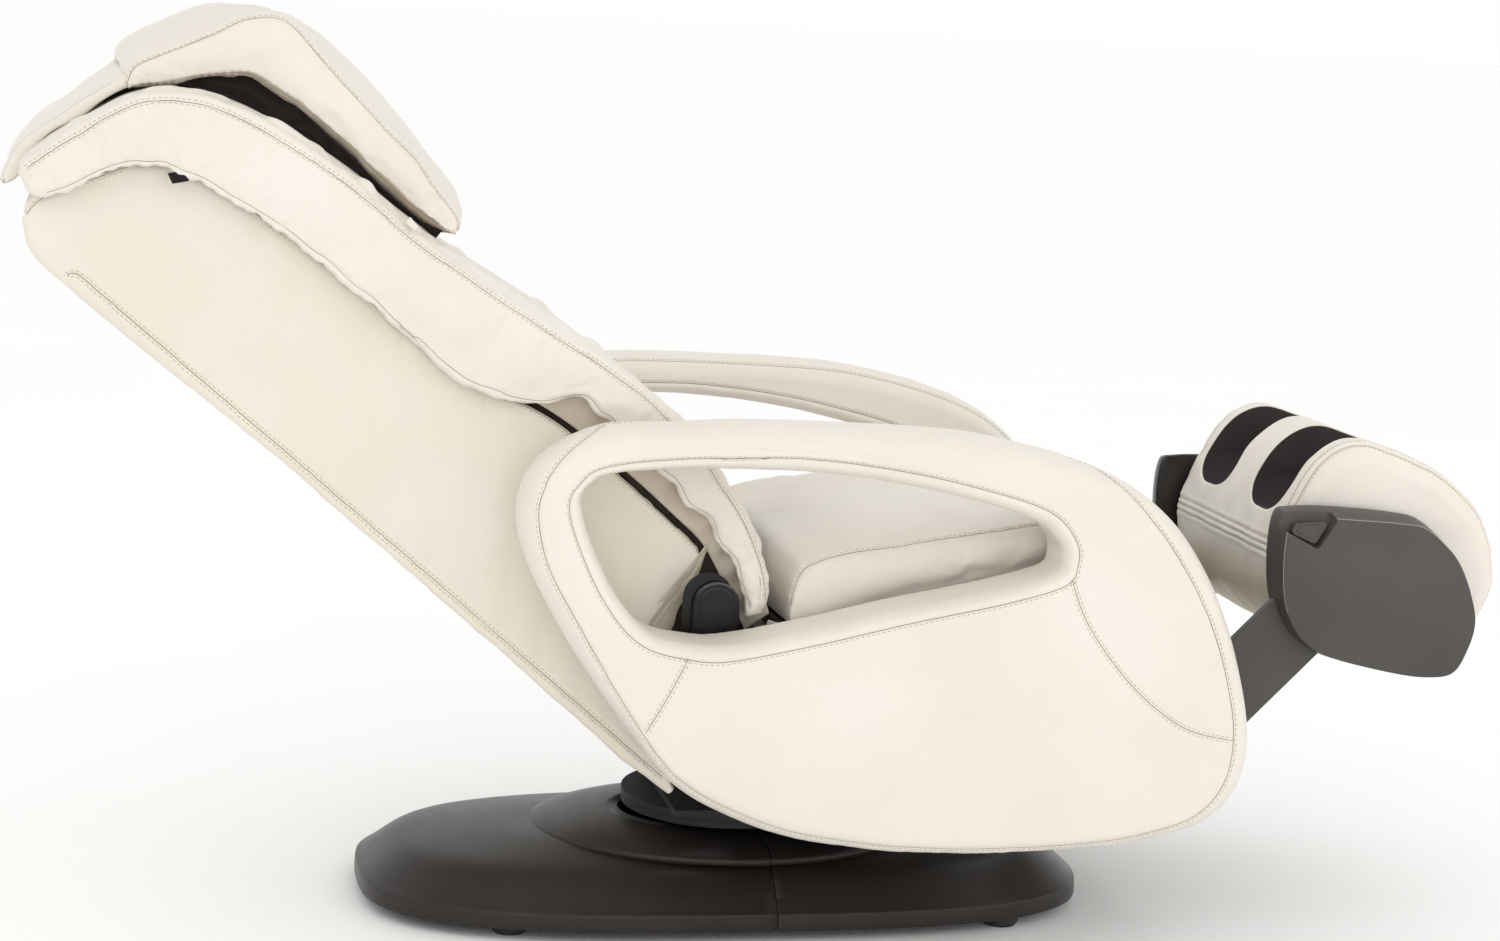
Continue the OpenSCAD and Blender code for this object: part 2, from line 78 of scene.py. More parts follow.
# ------------------------------------------------------------------ curves
def cr(points, closed, idx):
    """Catmull-Rom through points at fractional indices."""
    p = np.asarray(points, float)
    n = len(p)
    idx = np.asarray(idx, float)
    i = np.floor(idx).astype(int)
    if closed:
        t = idx - i
        a, b, c, d = p[(i - 1) % n], p[i % n], p[(i + 1) % n], p[(i + 2) % n]
    else:
        i = np.clip(i, 0, n - 2)
        t = idx - i
        a, b, c, d = p[np.clip(i - 1, 0, n - 1)], p[i], p[i + 1], p[np.clip(i + 2, 0, n - 1)]
    t = t[:, None]
    return 0.5 * (2 * b + (c - a) * t + (2 * a - 5 * b + 4 * c - d) * t * t + (3 * b - a - 3 * c + d) * t ** 3)


def lengths(p):
    return np.concatenate([[0], np.cumsum(np.linalg.norm(np.diff(p, axis=0), axis=1))])


def even(points, n, closed=False, dense=40):
    """n points evenly spaced along the smooth curve."""
    p = np.asarray(points, float)
    m = len(p)
    idx = np.linspace(0, m if closed else m - 1, m * dense + 1)
    if not closed:
        idx[-1] = m - 1
    q = cr(p, closed, idx)
    s = lengths(q)
    want = np.linspace(0, s[-1], n + 1)[:-1] if closed else np.linspace(0, s[-1], n)
    return np.stack([np.interp(want, s, q[:, k]) for k in range(q.shape[1])], 1)


def matched(points, closed, keys_t, keys_i, t):
    """Points on the curve at index interp(t)."""
    return cr(points, closed, np.interp(t, keys_t, keys_i))


HINGE = np.array([-95.0, 395.0])
CA, SA = math.cos(math.radians(-50)), math.sin(math.radians(-50))


def back_xz(p):
    """Points in the frame of the back (f, h) to x, z, all in mm."""
    p = np.asarray(p, float)
    f, h = p[..., 0], p[..., 1]
    return np.stack([HINGE[0] + f * CA + h * SA, HINGE[1] - f * SA + h * CA], -1)


# smooth pseudo noise from a fixed set of waves
_rng = np.random.RandomState(7)


class Waves:
    def __init__(self, wavelength, seed, n=22, spread=0.45):
        r = np.random.RandomState(seed)
        d = r.normal(size=(n, 3))
        d /= np.linalg.norm(d, axis=1)[:, None]
        k = 2 * math.pi / (wavelength * np.exp(r.normal(size=n) * spread))
        self.k, self.ph = d * k[:, None], r.uniform(0, 2 * math.pi, n)

    def __call__(self, p):
        return np.sin(p @ self.k.T + self.ph).sum(1) / math.sqrt(len(self.ph) / 2)


# ------------------------------------------------------------------ meshes
def new_object(name, verts, faces, smooth=True):
    me = bpy.data.meshes.new(name)
    me.from_pydata([tuple(v) for v in np.asarray(verts, float)], [], [tuple(int(i) for i in f) for f in faces])
    me.update()
    ob = bpy.data.objects.new(name, me)
    scene.collection.objects.link(ob)
    if smooth:
        me.shade_smooth()
    return ob


def weld(ob, dist=2e-5):
    bm = bmesh.new()
    bm.from_mesh(ob.data)
    bmesh.ops.remove_doubles(bm, verts=bm.verts, dist=dist)
    bmesh.ops.dissolve_degenerate(bm, edges=bm.edges, dist=1e-6)
    bmesh.ops.recalc_face_normals(bm, faces=bm.faces)
    bm.to_mesh(ob.data)
    bm.free()
    ob.data.update()
    ob.data.shade_smooth()
    return ob


def grid_faces(n, m, wrap_i, wrap_j):
    i = np.arange(n if wrap_i else n - 1)
    j = np.arange(m if wrap_j else m - 1)
    I, J = np.meshgrid(i, j, indexing="ij")
    I2, J2 = (I + 1) % n, (J + 1) % m
    return np.stack([I * m + J, I2 * m + J, I2 * m + J2, I * m + J2], -1).reshape(-1, 4)


def grid_object(name, P, wrap_i=False, wrap_j=True, zones=None):
    """P is n x m x 3 in mm. zones gives each column's material index."""
    n, m = P.shape[:2]
    F = grid_faces(n, m, wrap_i, wrap_j)
    ob = new_object(name, P.reshape(-1, 3) * MM, F)
    if zones is not None:
        z = np.asarray(zones)[F[:, 0] % m].astype(np.int32)
        ob.data.polygons.foreach_set("material_index", z)
    return weld(ob)


def fill_ends(ob):
    """Closes the open end loops."""
    bm = bmesh.new()
    bm.from_mesh(ob.data)
    bmesh.ops.holes_fill(bm, edges=[e for e in bm.edges if e.is_boundary], sides=0)
    bmesh.ops.triangulate(bm, faces=[f for f in bm.faces if len(f.verts) > 4])
    bmesh.ops.recalc_face_normals(bm, faces=bm.faces)
    bm.to_mesh(ob.data)
    bm.free()
    ob.data.shade_smooth()


def get_co(ob):
    co = np.zeros(len(ob.data.vertices) * 3)
    ob.data.vertices.foreach_get("co", co)
    return co.reshape(-1, 3)


def set_co(ob, co):
    ob.data.vertices.foreach_set("co", np.asarray(co, np.float64).ravel())
    ob.data.update()


def get_no(ob):
    no = np.zeros(len(ob.data.vertices) * 3)
    ob.data.vertex_normals.foreach_get("vector", no)
    return no.reshape(-1, 3)


def apply_modifiers(ob):
    dg = bpy.context.evaluated_depsgraph_get()
    me = bpy.data.meshes.new_from_object(ob.evaluated_get(dg), preserve_all_data_layers=True, depsgraph=dg)
    ob.modifiers.clear()
    old = ob.data
    ob.data = me
    bpy.data.meshes.remove(old)
    ob.data.shade_smooth()
    return ob


def subdivide(ob, levels=1):
    m = ob.modifiers.new("sub", "SUBSURF")
    m.levels = m.render_levels = levels
    m.use_limit_surface = False
    return apply_modifiers(ob)


def skin_tree(co):
    t = KDTree(len(co))
    for i, c in enumerate(co):
        t.insert(c, i)
    t.balance()
    return t


def near_line(tree, co, line, reach):
    """Points within reach of a polyline: their indices, distance, and arc length at the nearest place."""
    s0 = lengths(line)
    best, arc = {}, None
    dist = np.full(len(co), np.inf)
    arc = np.zeros(len(co))
    for j in range(len(line) - 1):
        a, b = line[j], line[j + 1]
        d = b - a
        L = np.linalg.norm(d)
        if L < 1e-9:
            continue
        hit = [h[1] for h in tree.find_range((a + b) / 2, reach + L / 2)]
        if not hit:
            continue
        hit = np.array(hit)
        q = co[hit]
        t = np.clip((q - a) @ d / (L * L), 0, 1)
        dd = np.linalg.norm(q - a - t[:, None] * d, axis=1)
        new = dd < dist[hit]
        dist[hit[new]] = dd[new]
        arc[hit[new]] = s0[j] + t[new] * L
    near = np.where(dist < reach)[0]
    return near, dist[near], arc[near]


def resample(line, step):
    s = lengths(line)
    n = max(2, int(round(s[-1] / step)) + 1)
    w = np.linspace(0, s[-1], n)
    return np.stack([np.interp(w, s, line[:, k]) for k in range(3)], 1)


def seam_groove(ob, lines, depth=1.3, width=2.6, ridge=0.35, pucker=0.5, wave=15.0, reach=16.0, seed=1):
    """Pulls the skin in along each sewn line, with small puckers beside it. Sizes in mm, lines in metres."""
    co, no = get_co(ob), get_no(ob)
    push = np.zeros(len(co))
    tree = skin_tree(co)
    for k, line in enumerate(lines):
        line = resample(np.asarray(line, float), 0.008)
        near, d, s = near_line(tree, co, line, 0.030)
        if len(near) == 0:
            continue
        d, s = d / MM, s / MM
        w = Waves(wave * MM, seed + 11 * k, n=9, spread=0.35)
        along = np.stack([s * MM, np.zeros_like(s), np.full_like(s, k * 0.37)], 1)
        ph = w(along)
        push[near] += -depth * np.exp(-(d / width) ** 2) + ridge * np.exp(-((d - 2.6 * width) / (1.6 * width)) ** 2)
        push[near] += pucker * ph * np.exp(-((d - 5) / reach) ** 2) * (1 - np.exp(-(d / 4.0) ** 2)) * np.clip((30 - d) / 8, 0, 1)
    set_co(ob, co + no * push[:, None] * MM)


def ripple(ob, amp, wavelength, seed, where=None, squeeze=(1, 1, 1)):
    """Soft undulation of the skin along its normals. amp and wavelength in mm."""
    co, no = get_co(ob), get_no(ob)
    f = Waves(wavelength * MM, seed)(co * np.array(squeeze)) * amp * MM
    if where is not None:
        f = f * where(co / MM)
    set_co(ob, co + no * f[:, None])


def bvh_of(ob):
    bm = bmesh.new()
    bm.from_mesh(ob.data)
    tree = BVHTree.FromBMesh(bm)
    bm.free()
    return tree


def on_skin(tree, line, lift=0.0):
    """Projects a line onto the skin. Returns points and normals."""
    pts, nos = [], []
    for p in line:
        loc, no, _, _ = tree.find_nearest(Vector(p))
        pts.append(np.array(loc) + np.array(no) * lift)
        nos.append(np.array(no))
    return np.array(pts), np.array(nos)


def stitches(name, body, ob, lines, mat, length=4.2, gap=2.0, radius=0.42, lift=0.12, offset=0.0):
    """Rows of real stitches lying on the skin along each line. Sizes in mm."""
    tree = bvh_of(ob)
    V, F, base = [], [], 0
    ring = 6
    th = 2 * math.pi * np.arange(ring) / ring
    sink = np.array([-0.35, 0.0, lift, 0.0, -0.35]) * MM
    rad = np.array([0.35, 0.9, 1.0, 0.9, 0.35]) * radius * MM
    at = np.array([-0.5, -0.36, 0.0, 0.36, 0.5]) * length * MM
    for line in lines:
        line = resample(np.asarray(line, float), 0.004)
        pts, nos = on_skin(tree, line)
        if lengths(pts)[-1] < 0.01:
            continue
        if offset:
            tan = np.gradient(pts, axis=0)
            tan /= np.linalg.norm(tan, axis=1)[:, None] + 1e-12
            pts, nos = on_skin(tree, pts + np.cross(nos, tan) * offset * MM)
        s = lengths(pts)
        step = (length + gap) * MM
        count = int(s[-1] / step)
        if count < 1:
            continue
        w = ((np.arange(count) + 0.5) * step)[:, None] + at
        p = np.stack([np.interp(w, s, pts[:, q]) for q in range(3)], -1)
        n = np.stack([np.interp(w, s, nos[:, q]) for q in range(3)], -1)
        n /= np.linalg.norm(n, axis=-1, keepdims=True) + 1e-12
        t = p[:, -1] - p[:, 0]
        t /= np.linalg.norm(t, axis=-1, keepdims=True) + 1e-12
        side = np.cross(n, t[:, None])
        side /= np.linalg.norm(side, axis=-1, keepdims=True) + 1e-12
        v = (p + n * sink[None, :, None])[:, :, None] + (side[:, :, None] * np.cos(th)[None, None, :, None]
                                                        + n[:, :, None] * np.sin(th)[None, None, :, None]) * rad[None, :, None, None]
        V.append(v.reshape(-1, 3))
        one = [tuple(f) for f in grid_faces(5, ring, False, True)]
        one += [tuple(reversed(range(ring))), tuple(4 * ring + a for a in range(ring))]
        for k in range(count):
            o = base + k * 5 * ring
            F += [tuple(o + i for i in f) for f in one]
        base += count * 5 * ring
    if not V:
        return None
    o = new_object(name, np.concatenate(V), F)
    o.data.materials.append(mat)
    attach(o, body)
    return o


def project(ob, line, step=0.004):
    """A line laid on the skin."""
    return on_skin(bvh_of(ob), resample(np.asarray(line, float), step))[0]


def seam_mark(name, body, ob, lines, width=0.9, lift=0.12):
    """The fine dark line where two panels meet, a painted shade of the seam's groove, as a narrow closed strip lying in
    the groove.
    """
    tree = bvh_of(ob)
    V, F, base = [], [], 0
    for line in lines:
        pts, nos = on_skin(tree, resample(np.asarray(line, float), 0.003))
        if len(pts) < 3:
            continue
        tan = np.gradient(pts, axis=0)
        tan /= np.linalg.norm(tan, axis=1)[:, None] + 1e-12
        sd = np.cross(nos, tan)
        sd /= np.linalg.norm(sd, axis=1)[:, None] + 1e-12
        n = len(pts)
        V.append(np.stack([pts + sd * width / 2 * MM + nos * lift * MM, pts - sd * width / 2 * MM + nos * lift * MM, pts - nos * 0.5 * MM], 1).reshape(-1, 3))
        F += [tuple(base + i for i in f) for f in grid_faces(n, 3, False, True)]
        F += [(base, base + 2, base + 1), (base + 3 * n - 3, base + 3 * n - 2, base + 3 * n - 1)]
        base += 3 * n
    o = new_object(name, np.concatenate(V), F)
    o.data.materials.append(SEAM_SHADE)
    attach(o, body)
    return o


def double(lines, ob, off=3.0):
    """Two lines each side of a seam, for a double row."""
    tree = bvh_of(ob)
    out = []
    for line in lines:
        line = resample(np.asarray(line, float), 0.004)
        pts, nos = on_skin(tree, line)
        tan = np.gradient(pts, axis=0)
        tan /= np.linalg.norm(tan, axis=1)[:, None] + 1e-12
        side = np.cross(nos, tan)
        out += [pts + side * off * MM, pts - side * off * MM]
    return out


def tube(name, line, r, n=10, closed=False):
    """Round bead along a line of points in metres; r in mm."""
    p = np.asarray(line, float)
    t = np.gradient(p, axis=0)
    t /= np.linalg.norm(t, axis=1)[:, None] + 1e-12
    ref = np.array([0, 1.0, 0])
    a = np.cross(t, ref)
    bad = np.linalg.norm(a, axis=1) < 1e-3
    a[bad] = np.array([1.0, 0, 0])
    a /= np.linalg.norm(a, axis=1)[:, None]
    b = np.cross(t, a)
    th = np.linspace(0, 2 * math.pi, n, endpoint=False)
    P = p[:, None] + (a[:, None] * np.cos(th)[None, :, None] + b[:, None] * np.sin(th)[None, :, None]) * r * MM
    m = len(p)
    F = [tuple(f) for f in grid_faces(m, n, closed, True)]
    if not closed:
        F += [tuple(reversed(range(n))), tuple((m - 1) * n + k for k in range(n))]
    ob = new_object(name, P.reshape(-1, 3), F)
    return weld(ob, 1e-7)


def rrect(w, h, rw, rh, nw, nh, na, rw2, rh2):
    """Rounded rectangle, w wide (v) and h high (q from 0), with finer points in its corners. Returns v, q and the corners' middle points."""
    v, q, mids = [], [], []

    def seg(v0, v1, q0, q1, n):
        for k in range(n):
            t = k / n
            v.append(v0 + (v1 - v0) * t)
            q.append(q0 + (q1 - q0) * t)

    def arc(cv, cq, a0, a1, rv, rq):
        mids.append(len(v) + na // 2)
        for k in range(na):
            a = math.radians(a0 + (a1 - a0) * k / na)
            v.append(cv + rv * math.cos(a))
            q.append(cq + rq * math.sin(a))
    seg(-w / 2 + rw, w / 2 - rw, h, h, nw)
    arc(w / 2 - rw, h - rh, 90, 0, rw, rh)
    seg(w / 2, w / 2, h - rh, rh2, nh)
    arc(w / 2 - rw2, rh2, 0, -90, rw2, rh2)
    seg(w / 2 - rw2, -w / 2 + rw2, 0, 0, nw)
    arc(-w / 2 + rw2, rh2, -90, -180, rw2, rh2)
    seg(-w / 2, -w / 2, rh2, h - rh, nh)
    arc(-w / 2 + rw, h - rh, 180, 90, rw, rh)
    return np.array(v), np.array(q), mids


def slab(name, U, D, half, r_top, r_bot, top_crown=0.0, side_crown=0.0, bot_crown=0.0, nw=60, nh=14, na=6, droop=None, pw=2.2,
         US=None, DS=None, blend=2.6, bot_w=None):
    """Closed form between an upper curve U and a lower curve D (x, z in mm), from -half to half in y. US and DS are the same curves at the sides.
    Returns it and its seam lines in metres: top right, top left, bottom right, bottom left."""
    US = U if US is None else US
    DS = D if DS is None else DS
    rows = []
    for i in range(len(U)):
        hv = U[i] - D[i]
        h = max(np.linalg.norm(hv), np.linalg.norm(US[i] - DS[i]), 1e-3)
        tc = top_crown[i] if hasattr(top_crown, "__len__") else top_crown
        bc = bot_crown[i] if hasattr(bot_crown, "__len__") else bot_crown
        rt, rb = min(r_top, 0.48 * h), min(r_bot, 0.48 * h)
        v, q, mids = rrect(2 * half, h, r_top, rt, nw, nh, na, r_bot if bot_w is None else bot_w, rb)
        x = v / half
        fade = min(1.0, h / 60.0)
        top = (q > h * 0.5)
        q = q + np.where(top, tc * fade * (1 - np.abs(x) ** pw), -bc * fade * (1 - np.abs(x) ** pw))
        s = q / h
        sc = np.clip(s, 0, 1)
        v = v + np.sign(v) * side_crown * fade * np.where(np.abs(x) > 0.9, (1 - np.abs(2 * sc - 1) ** 2.2), 0)
        if droop is not None:
            s = s + droop(x, i) / h
        k = np.clip(np.abs(x), 0, 1)[:, None] ** blend
        pos = D[i] * (1 - k) + DS[i] * k + (hv * (1 - k) + (US[i] - DS[i]) * k) * s[:, None]
        rows.append(np.stack([pos[:, 0], v, pos[:, 1]], 1))
    P = np.stack(rows)
    seams = [P[:, mids[3]] * MM, P[:, mids[0]] * MM, P[:, mids[2]] * MM, P[:, mids[1]] * MM]
    return grid_object(name, P), seams


def plate(name, outline, y0, y1, bevel=3.0, steps=5, n=160, smooth_curve=True, back_bevel=1.0):
    """Flat plate with rounded rims. outline x, z in mm; y0 is the face with the larger bevel."""
    p = even(outline, n, closed=True) if smooth_curve else np.asarray(outline, float)
    t = np.roll(p, -1, 0) - np.roll(p, 1, 0)
    t /= np.linalg.norm(t, axis=1)[:, None]
    nrm = np.stack([t[:, 1], -t[:, 0]], 1)
    if (nrm * (p - p.mean(0))).sum() < 0:
        nrm = -nrm
    sgn = 1 if y1 > y0 else -1
    rings = []
    for k in range(steps + 1):
        a = math.pi / 2 * k / steps
        rings.append((p - nrm * bevel * (1 - math.sin(a)), y0 + sgn * bevel * (1 - math.cos(a))))
    for k in range(steps + 1):
        a = math.pi / 2 * (1 - k / steps)
        rings.append((p - nrm * back_bevel * (1 - math.sin(a)), y1 - sgn * back_bevel * (1 - math.cos(a))))
    m = len(p)
    V = np.concatenate([np.stack([r[:, 0], np.full(m, y), r[:, 1]], 1) for r, y in rings]) * MM
    F = [tuple(f) for f in grid_faces(len(rings), m, False, True)]
    F += [tuple(reversed(range(m))), tuple((len(rings) - 1) * m + k for k in range(m))]
    ob = new_object(name, V, F)
    bm = bmesh.new()
    bm.from_mesh(ob.data)
    bmesh.ops.recalc_face_normals(bm, faces=bm.faces)
    caps = [f for f in bm.faces if len(f.verts) > 4]
    bmesh.ops.triangulate(bm, faces=caps)
    bm.to_mesh(ob.data)
    bm.free()
    ob.data.shade_smooth()
    m2 = ob.modifiers.new("normals", "WEIGHTED_NORMAL")
    m2.keep_sharp = True
    apply_modifiers(ob)
    return ob


def tri_round(p, r=3.0, n=6):
    """Polygon with rounded corners."""
    p = [np.array(q, float) for q in p]
    out = []
    for i in range(len(p)):
        a, b, c = p[i - 1], p[i], p[(i + 1) % len(p)]
        u, v = (a - b) / np.linalg.norm(a - b), (c - b) / np.linalg.norm(c - b)
        half = math.acos(float(np.clip(u @ v, -1, 1))) / 2
        d = min(r / math.tan(half), 0.45 * np.linalg.norm(a - b), 0.45 * np.linalg.norm(c - b))
        s, e = b + u * d, b + v * d
        for k in range(n + 1):
            t = k / n
            out.append((1 - t) ** 2 * s + 2 * t * (1 - t) * b + t * t * e)
    return np.array(out)


def mirrored(ob, name):
    co = get_co(ob)
    co[:, 1] *= -1
    o = ob.copy()
    o.data = ob.data.copy()
    o.name = name
    o.data.name = name
    scene.collection.objects.link(o)
    set_co(o, co)
    o.data.flip_normals()
    o.data.shade_smooth()
    return o


def finish_piece(ob, body, mat, replaces=(), second=None):
    idx = np.zeros(len(ob.data.polygons), np.int32)
    ob.data.polygons.foreach_get("material_index", idx)
    ob.data.materials.clear()
    ob.data.materials.append(mat)
    if second is not None:
        ob.data.materials.append(second)
        ob.data.polygons.foreach_set("material_index", idx)
    else:
        ob.data.polygons.foreach_set("material_index", np.zeros_like(idx))
    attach(ob, body)
    if replaces:
        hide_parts(*replaces)
    return ob


def puff(ob, pressure=4.0, cap=8.0, frames=20, shrink=-0.004, pins=None, stiff=18.0, keep=None):
    """Blender's cloth swells the cover; no point moves more than cap mm. Then the result is the mesh."""
    before = get_co(ob)
    pin = None
    if pins is not None:
        pin = np.zeros(len(before))
        tree = skin_tree(before)
        for line in pins:
            near, d, _ = near_line(tree, before, resample(np.asarray(line, float), 0.008), 0.012)
            pin[near] = np.maximum(pin[near], np.clip(1.2 - d / 0.006, 0, 1))
    work = ob.copy()
    work.data = ob.data.copy()
    scene.collection.objects.link(work)
    if pin is not None:
        g = work.vertex_groups.new(name="pin")
        for w in np.unique(np.round(pin, 2)):
            if w > 0:
                g.add([int(i) for i in np.where(np.round(pin, 2) == w)[0]], float(w), "REPLACE")
    m = work.modifiers.new("cloth", "CLOTH")
    c = m.settings
    c.quality = 5
    c.mass = 0.25
    c.tension_stiffness = c.compression_stiffness = stiff
    c.shear_stiffness = stiff * 0.5
    c.bending_stiffness = 1.2
    c.use_pressure = True
    c.uniform_pressure_force = pressure
    c.shrink_min = shrink
    c.effector_weights.gravity = 0.0
    if pin is not None:
        c.vertex_group_mass = "pin"
        c.pin_stiffness = 1.0
    m.collision_settings.use_collision = False
    m.collision_settings.use_self_collision = False
    m.point_cache.frame_start, m.point_cache.frame_end = 1, frames
    for f in range(1, frames + 1):
        scene.frame_set(f)
    dg = bpy.context.evaluated_depsgraph_get()
    ev = work.evaluated_get(dg)
    me = ev.to_mesh()
    after = np.zeros(len(me.vertices) * 3)
    me.vertices.foreach_get("co", after)
    after = after.reshape(-1, 3)
    ev.to_mesh_clear()
    bpy.data.objects.remove(work, do_unlink=True)
    scene.frame_set(1)
    if len(after) != len(before) or not np.isfinite(after).all():
        return ob
    move = after - before
    size = np.linalg.norm(move, axis=1)
    limit = np.minimum(1.0, cap * MM / np.maximum(size, 1e-9))
    move = move * limit[:, None]
    if keep is not None:
        move = move * keep[:, None]
    set_co(ob, before + move)
    return ob


# ------------------------------------------------------------------ materials
def nodes_of(name):
    m = bpy.data.materials.new(name)
    m.use_nodes = True
    nt = m.node_tree
    return m, nt, nt.nodes["Principled BSDF"], nt.nodes, nt.links


def srgb(r, g, b):
    def f(c):
        c /= 255.0
        return c / 12.92 if c <= 0.04045 else ((c + 0.055) / 1.055) ** 2.4
    return (f(r), f(g), f(b), 1.0)


def noise(N, L, coord, scale, detail=3.0, rough=0.5):
    n = N.new("ShaderNodeTexNoise")
    n.inputs["Scale"].default_value = scale
    n.inputs["Detail"].default_value = detail
    n.inputs["Roughness"].default_value = rough
    L.new(coord, n.inputs["Vector"])
    return n.outputs["Fac"]


def ramp(N, L, fac, stops):
    r = N.new("ShaderNodeValToRGB")
    e = r.color_ramp.elements
    while len(e) < len(stops):
        e.new(0.5)
    for k, (pos, colour) in enumerate(stops):
        e[k].position = pos
        e[k].color = colour
    L.new(fac, r.inputs["Fac"])
    return r.outputs["Color"]


def maprange(N, L, fac, lo, hi, a=0.0, b=1.0):
    r = N.new("ShaderNodeMapRange")
    r.inputs["From Min"].default_value = a
    r.inputs["From Max"].default_value = b
    r.inputs["To Min"].default_value = lo
    r.inputs["To Max"].default_value = hi
    L.new(fac, r.inputs["Value"])
    return r.outputs["Result"]


def math_node(N, L, op, a, b):
    r = N.new("ShaderNodeMath")
    r.operation = op
    for k, x in enumerate((a, b)):
        if isinstance(x, (int, float)):
            r.inputs[k].default_value = x
        else:
            L.new(x, r.inputs[k])
    return r.outputs[0]


def mix_rgb(N, L, fac, a, b, kind="MIX"):
    r = N.new("ShaderNodeMix")
    r.data_type = "RGBA"
    r.blend_type = kind
    for sock, x in ((r.inputs[0], fac), (r.inputs[6], a), (r.inputs[7], b)):
        if isinstance(x, (int, float)):
            sock.default_value = x
        elif isinstance(x, tuple):
            sock.default_value = x
        else:
            L.new(x, sock)
    return r.outputs[2]


def bump(N, L, height, strength, distance, normal=None):
    b = N.new("ShaderNodeBump")
    b.inputs["Strength"].default_value = strength
    b.inputs["Distance"].default_value = distance
    L.new(height, b.inputs["Height"])
    if normal is not None:
        L.new(normal, b.inputs["Normal"])
    return b.outputs["Normal"]


def leather(name, light, dark, rough=0.44, grain=1.0):
    m, nt, p, N, L = nodes_of(name)
    tc = N.new("ShaderNodeTexCoord").outputs["Object"]
    big = noise(N, L, tc, 5.0, 3.0)
    mid = noise(N, L, tc, 38.0, 4.0, 0.6)
    v = N.new("ShaderNodeTexVoronoi")
    v.feature = "DISTANCE_TO_EDGE"
    v.inputs["Scale"].default_value = 620.0
    v.inputs["Randomness"].default_value = 1.0
    warp = N.new("ShaderNodeVectorMath")
    warp.operation = "MULTIPLY_ADD"
    wn = N.new("ShaderNodeTexNoise")
    wn.inputs["Scale"].default_value = 160.0
    wn.inputs["Detail"].default_value = 2.0
    L.new(tc, wn.inputs["Vector"])
    L.new(wn.outputs["Color"], warp.inputs[0])
    warp.inputs[1].default_value = (0.004, 0.004, 0.004)
    L.new(tc, warp.inputs[2])
    L.new(warp.outputs[0], v.inputs["Vector"])
    cell = maprange(N, L, v.outputs["Distance"], 0.0, 1.0, 0.0, 0.22)
    fine = noise(N, L, tc, 1500.0, 2.0, 0.6)
    base = ramp(N, L, big, [(0.30, dark), (0.72, light)])
    base = mix_rgb(N, L, maprange(N, L, mid, 0.0, 0.10, 0.35, 0.75), base, tuple(c * 0.93 for c in dark[:3]) + (1.0,))
    base = mix_rgb(N, L, maprange(N, L, cell, 0.10, 0.0), base, tuple(c * 0.80 for c in dark[:3]) + (1.0,))
    L.new(base, p.inputs["Base Color"])
    rg = math_node(N, L, "ADD", maprange(N, L, mid, rough - 0.05, rough + 0.07), maprange(N, L, cell, 0.05, -0.02))
    L.new(rg, p.inputs["Roughness"])
    h = math_node(N, L, "ADD", math_node(N, L, "MULTIPLY", cell, 0.75), math_node(N, L, "MULTIPLY", fine, 0.35))
    n1 = bump(N, L, h, 0.22 * grain, 0.00035)
    creases = noise(N, L, tc, 95.0, 5.0, 0.65)
    n2 = bump(N, L, creases, 0.16 * grain, 0.0012, n1)
    L.new(n2, p.inputs["Normal"])
    p.inputs["Specular IOR Level"].default_value = 0.42
    p.inputs["Sheen Weight"].default_value = 0.04
    p.inputs["Coat Weight"].default_value = 0.06
    p.inputs["Coat Roughness"].default_value = 0.32
    return m


def fabric(name, light, dark, scale=1400.0, rough=0.9, sheen=0.25):
    m, nt, p, N, L = nodes_of(name)
    tc = N.new("ShaderNodeTexCoord").outputs["Object"]
    w = []
    for axis in ("X", "Z", "Y"):
        n = N.new("ShaderNodeTexWave")
        n.wave_type = "BANDS"
        n.bands_direction = axis
        n.inputs["Scale"].default_value = scale / 6.28
        n.inputs["Distortion"].default_value = 0.6
        n.inputs["Detail"].default_value = 1.0
        L.new(tc, n.inputs["Vector"])
        w.append(n.outputs["Fac"])
    weave = math_node(N, L, "MULTIPLY", math_node(N, L, "MAXIMUM", w[0], w[1]), w[2])
    big = noise(N, L, tc, 9.0, 3.0)
    fuzz = noise(N, L, tc, 900.0, 3.0, 0.7)
    base = ramp(N, L, weave, [(0.15, dark), (0.9, light)])
    base = mix_rgb(N, L, maprange(N, L, big, 0.0, 0.45), base, dark)
    L.new(base, p.inputs["Base Color"])
    L.new(maprange(N, L, fuzz, rough - 0.06, rough + 0.05), p.inputs["Roughness"])
    n1 = bump(N, L, math_node(N, L, "ADD", weave, math_node(N, L, "MULTIPLY", fuzz, 0.5)), 0.5, 0.0005)
    L.new(n1, p.inputs["Normal"])
    p.inputs["Sheen Weight"].default_value = sheen
    p.inputs["Sheen Roughness"].default_value = 0.5
    p.inputs["Specular IOR Level"].default_value = 0.2
    return m


